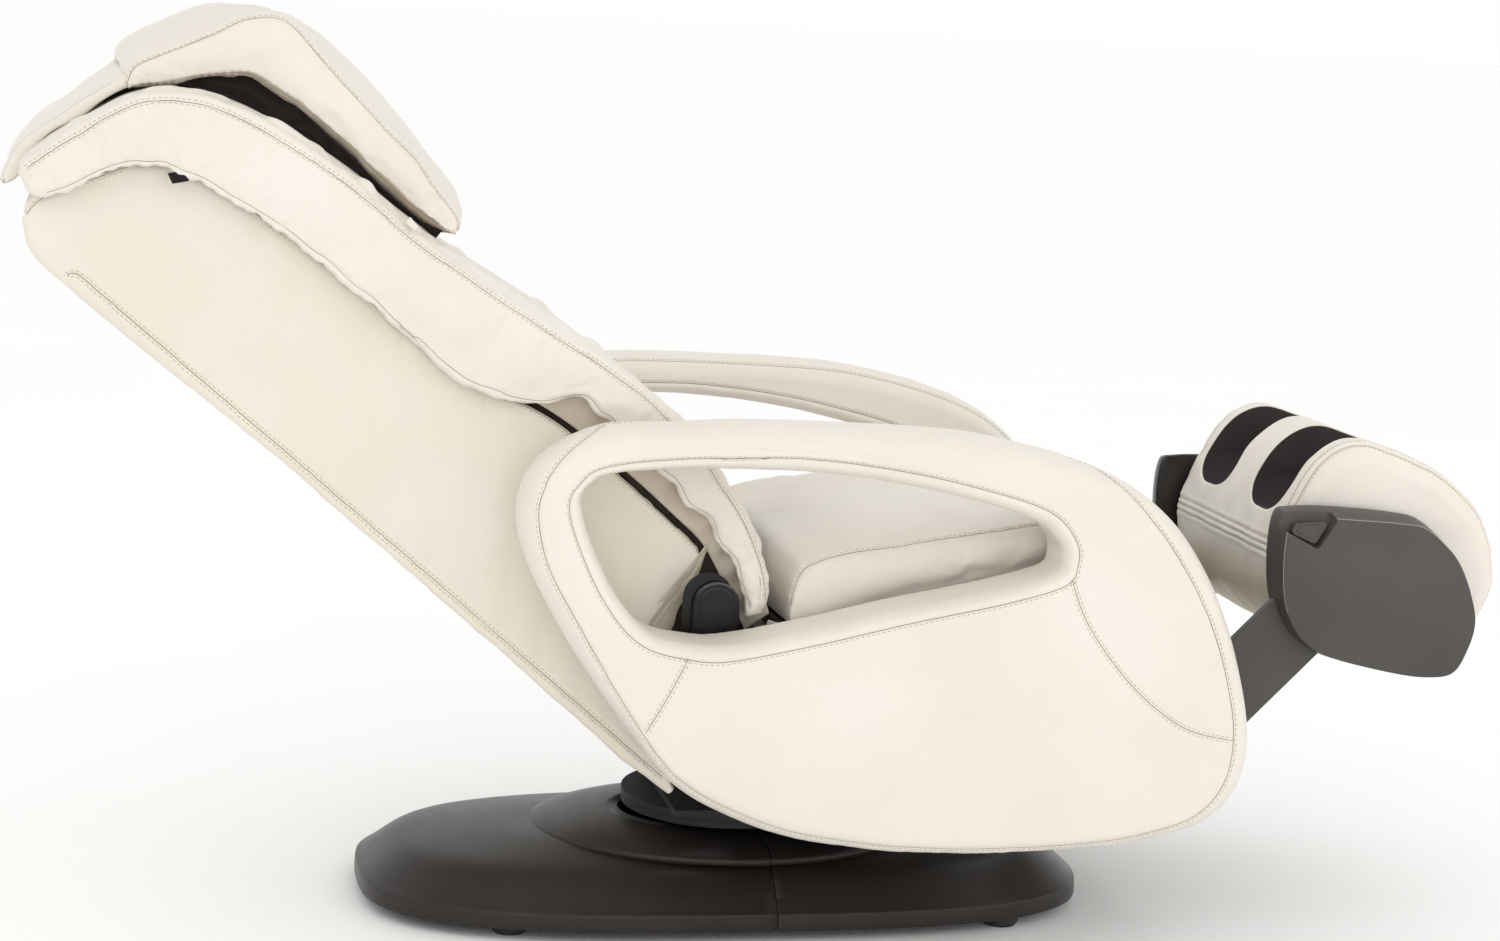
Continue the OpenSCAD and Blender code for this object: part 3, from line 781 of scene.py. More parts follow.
def plastic(name, light, dark, rough=0.42, texture=0.25, speck=1.0, coat=0.0, tex_scale=900.0, spec=0.5):
    m, nt, p, N, L = nodes_of(name)
    tc = N.new("ShaderNodeTexCoord").outputs["Object"]
    big = noise(N, L, tc, 7.0, 4.0)
    mid = noise(N, L, tc, 60.0, 4.0, 0.6)
    fine = noise(N, L, tc, tex_scale, 2.0, 0.6)
    base = ramp(N, L, big, [(0.3, dark), (0.7, light)])
    base = mix_rgb(N, L, maprange(N, L, fine, 0.0, 0.30 * speck, 0.35, 0.7), base, tuple(min(1, c * 1.5) for c in light[:3]) + (1.0,))
    L.new(base, p.inputs["Base Color"])
    L.new(math_node(N, L, "ADD", maprange(N, L, mid, rough - 0.05, rough + 0.06), maprange(N, L, fine, -0.02, 0.04)), p.inputs["Roughness"])
    L.new(bump(N, L, fine, texture, 0.0003), p.inputs["Normal"])
    p.inputs["Specular IOR Level"].default_value = spec
    p.inputs["Coat Weight"].default_value = coat
    p.inputs["Coat Roughness"].default_value = 0.1
    return m


def metal(name, colour, rough=0.35, metallic=1.0, brushed=False, scale=300.0):
    m, nt, p, N, L = nodes_of(name)
    tc = N.new("ShaderNodeTexCoord").outputs["Object"]
    if brushed:
        mp = N.new("ShaderNodeMapping")
        mp.inputs["Scale"].default_value = (1.0, 14.0, 1.0)
        L.new(tc, mp.inputs["Vector"])
        tc2 = mp.outputs["Vector"]
    else:
        tc2 = tc
    fine = noise(N, L, tc2, scale, 4.0, 0.65)
    big = noise(N, L, tc, 12.0, 3.0)
    base = ramp(N, L, big, [(0.3, tuple(c * 0.82 for c in colour[:3]) + (1.0,)), (0.7, colour)])
    L.new(base, p.inputs["Base Color"])
    L.new(maprange(N, L, fine, rough - 0.09, rough + 0.12), p.inputs["Roughness"])
    L.new(bump(N, L, fine, 0.18, 0.0003), p.inputs["Normal"])
    p.inputs["Metallic"].default_value = metallic
    return m


LIGHT_A, LIGHT_B = srgb(231, 225, 216), srgb(225, 218, 207)
CREAM = leather("cream_leather", LIGHT_A, LIGHT_B)
CREAM_SHELL = leather("shell_leather", srgb(230, 223, 211), srgb(224, 215, 200), rough=0.47)
# darker beige leather for the gussets, shell end strips and the pad's inner faces; on the pillow's down-facing facets
# it is painted shade
LINING_AND_SHADE = leather("gusset_leather_and_shade", srgb(208, 198, 182), srgb(190, 179, 162), rough=0.6, grain=1.6)
# darker leather strips laid in the seams as painted shade
SEAM_SHADE = leather("seam_shadow", srgb(158, 146, 126), srgb(142, 130, 111), rough=0.75)
GUSSET = fabric("gusset_fabric", srgb(214, 204, 188), srgb(196, 184, 166), scale=900.0, rough=0.82, sheen=0.2)
SUEDE = leather("massager_underside", srgb(205, 190, 163), srgb(188, 172, 145), rough=0.5)
BLACK = fabric("black_fabric", srgb(44, 36, 33), srgb(24, 19, 18), scale=1500.0, rough=0.86, sheen=0.18)
# dark brown cloth for the side curtains, painted shade of the gap between shell and pads
GAP_SHADE_CLOTH = fabric("gap_shade_fabric", srgb(70, 58, 48), srgb(44, 36, 30), scale=1100.0, rough=0.9, sheen=0.15)
THREAD = fabric("cream_thread", srgb(205, 193, 171), srgb(188, 174, 150), scale=5000.0, rough=0.7, sheen=0.15)
THREAD_DARK = fabric("tan_thread", srgb(178, 160, 132), srgb(158, 139, 112), scale=5000.0, rough=0.7, sheen=0.15)
BASE = plastic("base_plastic", srgb(43, 38, 35), srgb(36, 32, 30), rough=0.34, texture=0.2, speck=0.4, spec=0.3)
PLATE = plastic("plate_plastic", srgb(76, 73, 70), srgb(68, 65, 63), rough=0.40, texture=0.4, speck=0.6, spec=0.35)
# lighter plastic laid on the plates' bevels and rim as a painted highlight
PLATE_PAINTED_HIGHLIGHT = plastic("plate_painted_highlight", srgb(150, 147, 143), srgb(128, 125, 122), rough=0.28, texture=0.2, speck=0.3)
PLATE_DARK = plastic("plate_inner", srgb(40, 35, 32), srgb(30, 27, 25), rough=0.25, texture=0.15, speck=0.2, spec=0.4)
GLOSS = plastic("gloss_black", srgb(20, 18, 18), srgb(14, 13, 13), rough=0.2, texture=0.03, speck=0.03, spec=0.3)
# lighter grey laid on the hinge covers' upper bevel as a painted highlight
GLOSS_PAINTED_HIGHLIGHT = plastic("gloss_painted_highlight", srgb(92, 88, 86), srgb(70, 67, 65), rough=0.2, texture=0.03, speck=0.05)
GREYBTN = plastic("button_grey", srgb(120, 118, 116), srgb(104, 102, 101), rough=0.5, texture=0.2)
STEEL_BLACK = metal("black_steel", srgb(32, 30, 29), rough=0.55, metallic=0.15)
STEEL = metal("bright_steel", srgb(196, 196, 198), rough=0.28, brushed=True)
MOTOR = metal("motor_grey", srgb(92, 92, 96), rough=0.5, metallic=0.5)
ROLLER = plastic("roller_plastic", srgb(222, 214, 196), srgb(210, 201, 182), rough=0.4, texture=0.15, speck=0.2)
RUBBER = plastic("foot_rubber", srgb(46, 45, 44), srgb(36, 35, 34), rough=0.75, texture=0.5, speck=0.3)
PLY = plastic("dark_board", srgb(52, 44, 38), srgb(38, 32, 28), rough=0.7, texture=0.5, speck=0.3, tex_scale=240.0)
SLOT_MAT = {"cream_leather": CREAM, "shell_leather": CREAM_SHELL, "black_fabric": BLACK, "base_plastic": BASE, "plate_plastic": PLATE,
            "gloss_black": GLOSS, "button_grey": GREYBTN, "black_steel": STEEL_BLACK, "bright_steel": STEEL, "motor_grey": MOTOR,
            "roller_plastic": ROLLER, "foot_rubber": RUBBER, "ply": PLY}
for part in frame["record"]["subparts"]:
    o = frame["nodes"].get(part["node"])
    if o is not None:
        o.data.materials.clear()
        o.data.materials.append(SLOT_MAT[part["material_slot"]])


# ------------------------------------------------------------------ arm pods
POD = [[-337, 520], [-332, 556], [-315, 584], [-285, 607], [-240, 624], [-180, 627], [-90, 631], [25, 631],
       [140, 626], [225, 614], [300, 595], [360, 571], [410, 536], [450, 490], [485, 428], [510, 362], [525, 300],
       [528, 250], [516, 208], [490, 178], [450, 160], [380, 146], [285, 138], [175, 136], [70, 143], [-25, 160],
       [-97, 188], [-140, 212], [-170, 240], [-240, 331], [-288, 404], [-324, 470]]
HOLE = [[-270, 542], [-258, 564], [-230, 574], [-142, 581], [-30, 580], [85, 568], [180, 549], [250, 529],
        [278, 506], [284, 486], [274, 468], [210, 449], [94, 425], [-19, 398], [-98, 383], [-143, 385], [-189, 398],
        [-224, 435], [-254, 490]]
POD_KEYS = [(0, 0), (1, 0.9), (3, 2), (5, 3), (6.5, 4), (7.6, 5), (8.7, 6), (10, 7), (12.2, 8), (15, 9), (18, 10),
            (20.5, 11), (22.6, 12), (25, 13), (26.3, 14), (27.5, 15), (28.7, 16), (30, 17), (31.1, 18), (32, 19)]
# how far inside the outline the outer seam runs, by outline index
POD_SEAM = [(0, 19), (1, 18), (2, 13), (3, 6), (3.8, 0), (4.8, -10), (9.6, -10), (10.3, 0), (11.0, 10), (12.0, 26), (13.0, 34), (14, 37), (16, 38), (17, 36),
            (18, 30), (19, 24), (20, 18), (22, 12), (26, 12), (28, 13), (30, 17), (32, 19)]
POD_Y0, POD_Y1 = 262.0, 352.0


def arm_pod(name):
    ko = np.array([k[0] for k in POD_KEYS], float)
    ki = np.array([k[1] for k in POD_KEYS], float)
    dense = cr(POD, True, np.linspace(0, 32, 1601))
    s = lengths(dense)
    n = 400
    t = np.interp(np.linspace(0, s[-1], n + 1)[:-1], s, np.linspace(0, 32, 1601))
    O = cr(POD, True, t)
    I = cr(HOLE, True, np.interp(t, ko, ki) % 19)
    seam_in = np.interp(t, [k[0] for k in POD_SEAM], [k[1] for k in POD_SEAM])
    mid = 0.5 * (POD_Y0 + POD_Y1)
    hw = 0.5 * (POD_Y1 - POD_Y0)
    ro, ri, bo, bi = 27.0, 15.0, 41.0, 20.0
    ai = np.radians(np.linspace(90, 0, 11))[:-1]
    ao = np.radians(np.linspace(0, 90, 17))[1:]
    w = np.concatenate([[0, 0.012, 0.03, 0.055, 0.09], np.linspace(0.13, 0.87, 22), [0.91, 0.945, 0.97, 0.988, 1.0]])
    rows, s_out, s_in, s_far = [], [], [], []
    for k in range(n):
        e = O[k] - I[k]
        D = np.linalg.norm(e)
        e = e / D
        u = np.concatenate([ri * (1 - np.sin(ai)), ri + (D - ri - ro) * w, D - ro + ro * np.sin(ao)])
        v = np.concatenate([(hw - bi) + bi * np.cos(ai), np.full(len(w), hw), (hw - bo) + bo * np.cos(ao)])
        flat = np.clip((u - ri) / (D - ri - ro), 0, 1)
        v0 = v
        v = v + min(3.0, 0.045 * D) * np.sin(math.pi * flat) ** 0.9
        U = np.concatenate([u, [D + 0.4], u[::-1], [-1.0]])
        V = np.concatenate([v, [0.0], -v0[::-1], [0.0]])
        rows.append(np.stack([I[k][0] + e[0] * U, mid + V, I[k][1] + e[1] * U], 1))
        off = seam_in[k]
        sa = np.clip(1 - off / ro, 0, 1)
        u1 = D - off if off > ro else D - ro + ro * sa
        v1 = hw if off > ro else (hw - bo) + bo * math.sqrt(max(0.0, 1 - sa * sa))
        if off < 0:
            v1 = max(0.5, hw - bo + off)
        s_out.append((I[k] + e * u1, v1))
        sb = 1 - 8.0 / ro
        s_far.append((I[k] + e * (D - 8.0), (hw - bo) + bo * math.sqrt(1 - sb * sb)))
        s_in.append((I[k] + e * (ri + 0.8), hw))
    ob = grid_object(name, np.stack(rows), wrap_i=True, wrap_j=True)
    lines = []
    for ring, sg in ((s_out, 1), (s_far, -1), (s_in, 1), (s_in, -1)):
        p = np.array([(q[0], mid + sg * (v + 0.5), q[1]) for q, v in ring + ring[:1]]) * MM
        if ring is s_out:
            # over the arm rest this seam lies on the crest, where the other side's seam takes over
            keep = np.where((t < 4.7) | (t > 9.7))[0]
            start = int(np.where(np.diff(keep) > 1)[0][0]) + 1
            keep = np.concatenate([keep[start:], keep[:start]])
            p = p[keep]
        lines.append(p)
    cross = []
    for c in (even([(-146, 370), (-158, 345), (-172, 318), (-190, 286)], 20),
              even([(293, 462), (310, 421), (338, 380), (378, 336), (420, 303), (455, 286), (500, 277)], 60)):
        for y in (POD_Y1 + 2, POD_Y0 - 4):
            cross.append(np.stack([c[:, 0], np.full(len(c), y), c[:, 1]], 1) * MM)
    return ob, lines, cross


pod, pod_lines, pod_cross = arm_pod("arm_left")
subdivide(pod)
pod_lines = [project(pod, l) for l in pod_lines]
pod_cross = [project(pod, l) for l in pod_cross]
ripple(pod, 0.4, 170, 31)
seam_groove(pod, pod_lines, depth=1.2, width=2.6, ridge=0.3, pucker=0.30, wave=26, reach=18, seed=3)
seam_groove(pod, pod_cross, depth=0.9, width=4.0, ridge=0.3, pucker=0.30, wave=18, reach=14, seed=9)
pod_r = mirrored(pod, "arm_right")
for side, o in (("left", pod), ("right", pod_r)):
    finish_piece(o, "seat", CREAM, ["arm_pod_" + side])
    sg = 1 if side == "left" else -1
    m_lines = [l * np.array([1, sg, 1]) for l in pod_lines]
    m_cross = [l * np.array([1, sg, 1]) for l in pod_cross]
    seam_mark("arm_seams_" + side, "seat", o, m_lines + m_cross)
    stitches("arm_stitches_" + side, "seat", o, m_lines, THREAD, offset=3.0)
    stitches("arm_double_stitches_" + side, "seat", o, double(m_cross, o), THREAD)

# ------------------------------------------------------------------ seat cushion
SEAT_U = [[-9, 398], [-8, 420], [-3, 444], [12, 462], [56, 476], [120, 485], [180, 496], [245, 506], [307, 515], [360, 522], [392, 523], [414, 515], [427, 503], [431, 493]]
SEAT_D = [[-9, 398], [-6, 385], [8, 383], [30, 388], [56, 394], [120, 408], [180, 422], [245, 437], [307, 451], [360, 463], [392, 471], [414, 477], [427, 483], [431, 493]]
keys = np.linspace(0, 13, 116)
SEAT_TOP = cr(SEAT_U, False, keys)
seat, seat_seams = slab("seat_cushion_cover", SEAT_TOP, cr(SEAT_D, False, keys), 248.0, 17.0, 9.0,
                        top_crown=8.0 * np.clip((SEAT_TOP[:, 0] - 25) / 80, 0, 1), side_crown=4.0, nw=58, nh=9, na=10)
puff(seat, pressure=3.0, cap=7.0, frames=14, pins=seat_seams[:2], keep=np.clip((get_co(seat)[:, 0] / MM - 30) / 70, 0, 1))
subdivide(seat)
seat_top = [project(seat, l[6:-4]) for l in seat_seams[:2]]
ripple(seat, 0.6, 130, 5)
seam_groove(seat, seat_top, depth=1.5, width=2.5, pucker=0.45, wave=24, reach=16, seed=21)
finish_piece(seat, "seat", CREAM, ["seat_cushion"])
seam_mark("seat_seams", "seat", seat, seat_top)
stitches("seat_stitches", "seat", seat, double(seat_top, seat, 2.8)[::2], THREAD)

# ------------------------------------------------------------------ back shell
SH_U = [[-160, 872], [-138, 872], [-116, 864], [-76, 843], [-24, 810], [-2, 756], [10, 680], [19, 592], [23, 500], [25, 420], [33, 368],
        [50, 316], [58, 260], [59, 171], [58, 110], [57, 62], [52, 55], [-10, 50], [-89, 44], [-118, 5], [-146, -40], [-178, -108]]
SH_D = [[-174, 864], [-190, 845], [-197, 822], [-198, 770], [-197, 720], [-196, 670], [-194, 600], [-192, 540], [-190, 470], [-190, 400], [-190, 350],
        [-190, 300], [-190, 250], [-190, 190], [-190, 150], [-191, 112], [-192, 92], [-193, 50], [-194, 6], [-195, -38], [-192, -72], [-190, -109]]
keys = np.linspace(0, 21, 220)
SU = np.stack([np.interp(keys, range(22), [p[k] for p in SH_U]) for k in (0, 1)], 1)
SU[:153] = cr(SH_U, False, keys[:153])
SD = cr(SH_D, False, keys)
# open towards the pads, so that the roller carriage runs inside it
rise = SU - SD
deep = np.linalg.norm(rise, axis=1)
lid = np.clip((1.9 - keys) / 0.5, 0, 1)
SM = SD + rise / deep[:, None] * (np.minimum(10.0, 0.9 * deep) * (1 - lid) + deep * lid)[:, None]
shell, _ = slab("back_shell_cover", back_xz(SM), back_xz(SD), 221.5, 8.0, 14.0, top_crown=0.0, side_crown=3.0, bot_crown=2.5 * deep / np.linalg.norm(SM - SD, axis=1), nw=48, nh=26, na=6,
                US=back_xz(SU), DS=back_xz(SD), blend=60.0)
subdivide(shell)
e = (SD - SU) / np.linalg.norm(SD - SU, axis=1)[:, None]
shell_seams, shell_double = [], []
for sg in (-1, 1):
    q = back_xz((SU + e * 13.0)[3:163])
    shell_seams.append(np.stack([q[:, 0], np.full(len(q), sg * 226.0), q[:, 1]], 1) * MM)
    h = np.linspace(778, -88, 160)
    q = back_xz(np.concatenate([[(-189.0, 789.0), (-184.0, 790.0), (-179.5, 784.0)], np.stack([np.full(160, -179.0), h], 1)]))
    shell_double.append(np.stack([q[:, 0], np.full(len(q), sg * 226.0), q[:, 1]], 1) * MM)
shell_seams = [project(shell, l) for l in shell_seams]
shell_double = [project(shell, l) for l in shell_double]
ripple(shell, 0.7, 210, 17)
seam_groove(shell, shell_seams + shell_double, depth=1.1, width=2.8, pucker=0.3, wave=30, reach=18, seed=41)
finish_piece(shell, "back", CREAM_SHELL, ["back_shell"])
seam_mark("shell_seams", "back", shell, shell_seams + shell_double)
stitches("shell_stitches", "back", shell, shell_seams, THREAD, offset=2.6)
stitches("shell_double_stitches", "back", shell, double(shell_double, shell, 3.4), THREAD)

# ------------------------------------------------------------------ back pads
PF = [[-142, 900], [-124, 907], [-78, 896], [-32, 881], [2, 867], [31, 845], [52, 815], [70, 776], [87, 706],
      [96, 642], [100, 557], [104, 503], [116, 409], [134, 304], [140, 220], [138, 150], [126, 98], [111, 45], [89, 0], [50, -44]]
PR = [[-142, 874], [-118, 868], [-70, 848], [-20, 812], [5, 760], [28, 690], [40, 620], [46, 540], [52, 460],
      [66, 380], [82, 300], [90, 220], [88, 150], [76, 92], [61, 50], [45, 6], [36, -38]]
SR = [[-150, 876], [-103, 848], [-59, 828], [-36, 806], [-21, 772], [-10, 730], [-1, 686], [6, 620], [9, 560],
      [8, 490], [10, 421], [16, 381], [33, 340], [49, 315], [85, 290], [104, 281]]
FR_KEYS = ([0, 1, 2, 3, 4, 5, 6, 7, 8, 9, 10, 11, 12, 13, 14, 15, 16, 17, 18, 19],
           [0, .6, 1.3, 2, 2.6, 3, 3.4, 4, 4.9, 5.8, 6.9, 7.5, 8.7, 10, 11, 12, 12.9, 14, 15.1, 16])
FS_KEYS = ([0, 1, 2, 3, 4, 5, 6, 7, 8, 9, 10, 11, 12, 12.7, 13.1, 13.4],
           [0, .3, 1, 1.6, 2.2, 2.8, 3.3, 4, 5.55, 6.7, 8.05, 8.8, 10.3, 12.0, 13.6, 15])


def back_pad(name):
    dense = cr(PF, False, np.linspace(0, 19, 1901))
    s = lengths(dense)
    n = 250
    t = np.interp(np.linspace(0, s[-1], n), s, np.linspace(0, 19, 1901))
    A = cr(PF, False, t)
    R = cr(PR, False, np.interp(t, *FR_KEYS))
    S = cr(SR, False, np.interp(t, *FS_KEYS))
    scallop = Waves(46.0, 5, n=8, spread=0.3)
    rows, corner, hem = [], [], []
    zone = []
    for k in range(n):
        a, r = A[k], R[k]
        dv = r - a
        th = np.linalg.norm(dv)
        e = dv / th
        sk = S[k] - a
        depth = float(sk @ e)
        lat = sk - e * depth
        free = np.clip((t[k] - 13.0) / 0.5, 0, 1)
        depth = depth * (1 - free) + free * (52.0 - 16.0 * np.clip((t[k] - 15.5) / 3.0, 0, 1))
        lat = lat * (1 - free)
        arc = s[-1] * k / (n - 1)
        wav = float(scallop(np.array([[arc, 0.0, 0.0]]))[0])
        depth += 1.3 * wav * np.clip(depth / 60, 0.4, 1) * (1 + 2.2 * free)
        end = 1.0
        for d in (arc, s[-1] - arc):
            if d < 22:
                end = min(end, math.sqrt(max(0.0, 1 - (1 - d / 22.0) ** 2)))
        P, Z = [], []
        wi, wo, thick = 92.0, 249.0, 17.0
        c0 = 15.0
        for q in range(26):
            x = q / 25.0
            y = wi + (wo - c0 - wi) * x
            crown = 12.5 * math.sin(math.pi * (0.06 + 0.66 * x)) ** 0.7
            P.append((y, 12.0 - crown - (9.0 if q == 0 else 0.0) * -1.0))
            Z.append(0)
        y0, d0 = P[-1]
        for q in range(1, 13):
            g = math.radians(90 * q / 12)
            P.append((y0 + c0 * math.sin(g), d0 + 17.0 * (1 - math.cos(g))))
            Z.append(0)
        ci = 26 + 7
        d0 = d0 + 17.0
        dd = max(depth, d0 + 8.0)
        for q in range(1, 23):
            x = q / 22.0
            bulge = 3.0 * math.sin(math.pi * x) ** 0.8
            P.append((wo + bulge, d0 + (dd - d0) * x))
            Z.append(0)
        hi = len(P) - 2
        for q in range(1, 7):
            g = math.radians(180 * q / 6)
            P.append((wo - thick / 2 + (thick / 2) * math.cos(g), dd + 3.5 * math.sin(g)))
            Z.append(1 if q > 4 else 0)
        inner_top = min(max(th * 0.8, 12.0), dd - 4.0)
        for q in range(1, 12):
            x = q / 11.0
            fold = 3.6 * wav * math.sin(math.pi * x) * (0.4 + free)
            P.append((wo - thick - 12.0 * x + fold, dd + (inner_top - dd) * x))
            Z.append(1)
        for q in range(1, 15):
            x = q / 14.0
            P.append((wo - thick - 12.0 - (wo - thick - 12.0 - wi) * x, inner_top + (th - inner_top) * min(1.0, x * 3)))
            Z.append(1)
        for q in range(1, 5):
            x = q / 5.0
            P.append((wi, th + (15.0 - th) * x))
            Z.append(1)
        P = np.array(P)
        lat_w = np.clip((P[:, 1] / max(dd, 1e-6)), 0, 1) ** 1.3
        c_mid = 0.5 * th
        dep = c_mid + (P[:, 1] - c_mid) * end
        y = P[:, 0] - (1 - end) * 10.0 * np.sign(P[:, 0] - 170)
        xz = a + np.outer(dep, e) + lat_w[:, None] * lat[None] * (P[:, 0] > 205)[:, None] * end
        w = back_xz(xz)
        row = np.stack([w[:, 0], y, w[:, 1]], 1)
        rows.append(row)
        zone = Z
        corner.append(row[ci])
        hem.append(row[hi])
    ob = grid_object(name, np.stack(rows), zones=zone)
    fill_ends(ob)
    return ob, [np.array(corner)[4:-4] * MM], [np.array(hem)[6:-6] * MM], t


pad, pad_corner, pad_hem, _ = back_pad("back_pad_cover_left")
pad_h = (get_co(pad)[:, 0] / MM - HINGE[0]) * SA + (get_co(pad)[:, 2] / MM - HINGE[1]) * CA
puff(pad, pressure=2.0, cap=4.5, frames=12, pins=pad_corner + pad_hem, keep=np.clip((pad_h - 70) / 90, 0, 1))
subdivide(pad)
pad_corner = [project(pad, l) for l in pad_corner]
pad_hem = [project(pad, l) for l in pad_hem]
ripple(pad, 1.5, 80, 77, where=lambda c: np.clip((c[:, 1] - 236) / 10, 0, 1), squeeze=(1.25, 0.4, 0.9))
ripple(pad, 0.7, 130, 78)
ripple(pad, 1.8, 34, 79, where=lambda c: np.clip((232 - c[:, 1]) / 8, 0, 1) * np.clip((c[:, 1] - 200) / 10, 0, 1))
seam_groove(pad, pad_corner, depth=1.5, width=2.6, pucker=0.6, wave=28, reach=20, seed=51)
seam_groove(pad, pad_hem, depth=0.9, width=2.2, pucker=1.0, wave=20, reach=10, seed=53)
pad_r = mirrored(pad, "back_pad_cover_right")
for side, o in (("left", pad), ("right", pad_r)):
    sg = 1 if side == "left" else -1
    finish_piece(o, "back", CREAM, ["back_pad_" + side], second=LINING_AND_SHADE)
    flip = np.array([1, sg, 1])
    c_l, h_l = [l * flip for l in pad_corner], [l * flip for l in pad_hem]
    seam_mark("pad_seams_" + side, "back", o, c_l)
    stitches("pad_stitches_" + side, "back", o, double(c_l, o, 3.2), THREAD)
    seam_mark("pad_hem_seams_" + side, "back", o, h_l, width=0.7)


# dark stretch fabric over the roller channel
def center_panel():
    keys = np.linspace(1.5, 17.2, 150)
    A = cr(PF, False, keys)
    T = np.gradient(A, axis=0)
    T /= np.linalg.norm(T, axis=1)[:, None]
    Nn = np.stack([T[:, 1], -T[:, 0]], 1)
    Nn = np.where((Nn[:, :1] > 0), -Nn, Nn)
    rows = []
    for k in range(len(A)):
        x = np.linspace(-1, 1, 35)
        P = np.concatenate([np.stack([91.3 * x, 13.0 - 6.0 * (1 - np.abs(x) ** 2.5)], 1),
                            np.stack([91.3 * x[::-1], 20.0 - 5.0 * (1 - np.abs(x) ** 2.5)], 1)])
        w = back_xz(A[k] + np.outer(P[:, 1], Nn[k]))
        rows.append(np.stack([w[:, 0], P[:, 0], w[:, 1]], 1))
    ob = grid_object("back_center_fabric", np.stack(rows))
    fill_ends(ob)
    return ob


mid_panel = center_panel()
ripple(mid_panel, 0.9, 70, 14)
finish_piece(mid_panel, "back", BLACK, ["back_center_panel"])

# cloth side curtains that close the gap between shell and pads, each a thin closed sheet, dark brown as painted shade
# of the gap
CURTAIN = [[-118, 4], [-96, 26], [-84, 40], [40, 50], [50, 70], [52, 171], [48, 256], [34, 310], [10, 366], [0, 420], [-2, 500], [-6, 590], [-16, 670], [-32, 745], [-50, 790],
           [-30, 812], [0, 768], [22, 700], [34, 630], [42, 540], [48, 460], [62, 380], [78, 300], [86, 220], [84, 150], [72, 92], [58, 50], [40, 4], [28, -44], [-20, -62], [-70, -48]]


def curtain(name, sg):
    p = even(CURTAIN, 260, closed=True)
    bm = bmesh.new()
    vs = [bm.verts.new((q[0] * MM, 0, q[1] * MM)) for q in p]
    bm.faces.new(vs)
    bmesh.ops.triangulate(bm, faces=bm.faces[:])
    for _ in range(4):
        long = [ed for ed in bm.edges if ed.calc_length() > 0.014]
        if not long:
            break
        bmesh.ops.subdivide_edges(bm, edges=long, cuts=1, use_grid_fill=False)
        bmesh.ops.triangulate(bm, faces=[f for f in bm.faces if len(f.verts) > 3])
    bmesh.ops.smooth_vert(bm, verts=[v for v in bm.verts if not v.is_boundary], factor=0.5, use_axis_x=True, use_axis_y=True, use_axis_z=True)
    me = bpy.data.meshes.new(name)
    bm.to_mesh(me)
    bm.free()
    ob = bpy.data.objects.new(name, me)
    scene.collection.objects.link(ob)
    co = get_co(ob) / MM
    f = Waves(58.0, 12)(np.stack([co[:, 0], np.zeros(len(co)), co[:, 2] * 0.4], 1))
    w = back_xz(co[:, [0, 2]])
    set_co(ob, np.stack([w[:, 0], sg * (217.0 - 0.55 * (1 + np.clip(f, -1, 1))), w[:, 1]], 1) * MM)
    m = ob.modifiers.new("cloth", "SOLIDIFY")
    m.thickness = 0.0008
    m.offset = 0
    apply_modifiers(ob)
    return ob


for side, sg in (("right", -1), ("left", 1)):
    cu = curtain("back_curtain_" + side, sg)
    finish_piece(cu, "back", GAP_SHADE_CLOTH)


# folded gusset between the shell's edge and the pad's wing
def gusset(name, sg):
    A = even([[20, 400], [30, 368], [46, 316], [54, 260], [56, 171], [55, 110], [53, 66], [42, 30], [26, -8], [10, -44]], 150)
    B = even([[66, 404], [78, 372], [92, 318], [102, 262], [106, 175], [104, 112], [98, 66], [86, 26], [66, -14], [44, -50]], 150)
    wv, w2 = Waves(30.0, 5, n=7, spread=0.25), Waves(54.0, 8, n=7)
    m = 22
    rows = []
    for k in range(150):
        f1 = float(wv(np.array([[k * 3.2, 0.0, 0.0]]))[0])
        amp = 0.8 + 1.9 * np.clip((k - 62) / 30.0, 0, 1)
        P = []
        for q in range(m):
            x = q / (m - 1.0)
            f2 = float(w2(np.array([[k * 3.2 + 30 * x, x * 26.0, 0.0]]))[0])
            y = 220.0 + 9.0 * x ** 0.8 + (amp * f1 * math.sin(math.pi * x) ** 0.8 + 0.9 * f2 * math.sin(math.pi * x))
            c = A[k] + (B[k] - A[k]) * x
            P.append((c[0], min(y, 230.6), c[1]))
        P = np.array(P)
        w = back_xz(P[:, [0, 2]])
        rows.append(np.stack([w[:, 0], sg * P[:, 1], w[:, 1]], 1))
    R = np.stack(rows)
    ob = new_object(name, R.reshape(-1, 3) * MM, grid_faces(150, m, False, False))
    md = ob.modifiers.new("cloth", "SOLIDIFY")
    md.thickness = 0.0009
    md.offset = 0
    apply_modifiers(ob)
    seg = np.linalg.norm(np.diff(R, axis=0), axis=2).sum(0) * MM
    ww = np.linalg.norm(np.diff(R, axis=1), axis=2).sum(1) * MM
    return ob, (round(float(ww.max()), 4), round(float(seg.max()), 4)), float(ww.mean() * seg.mean())


for side, sg in (("right", -1), ("left", 1)):
    gs, flat, ar = gusset("back_gusset_" + side, sg)
    finish_piece(gs, "back", LINING_AND_SHADE)


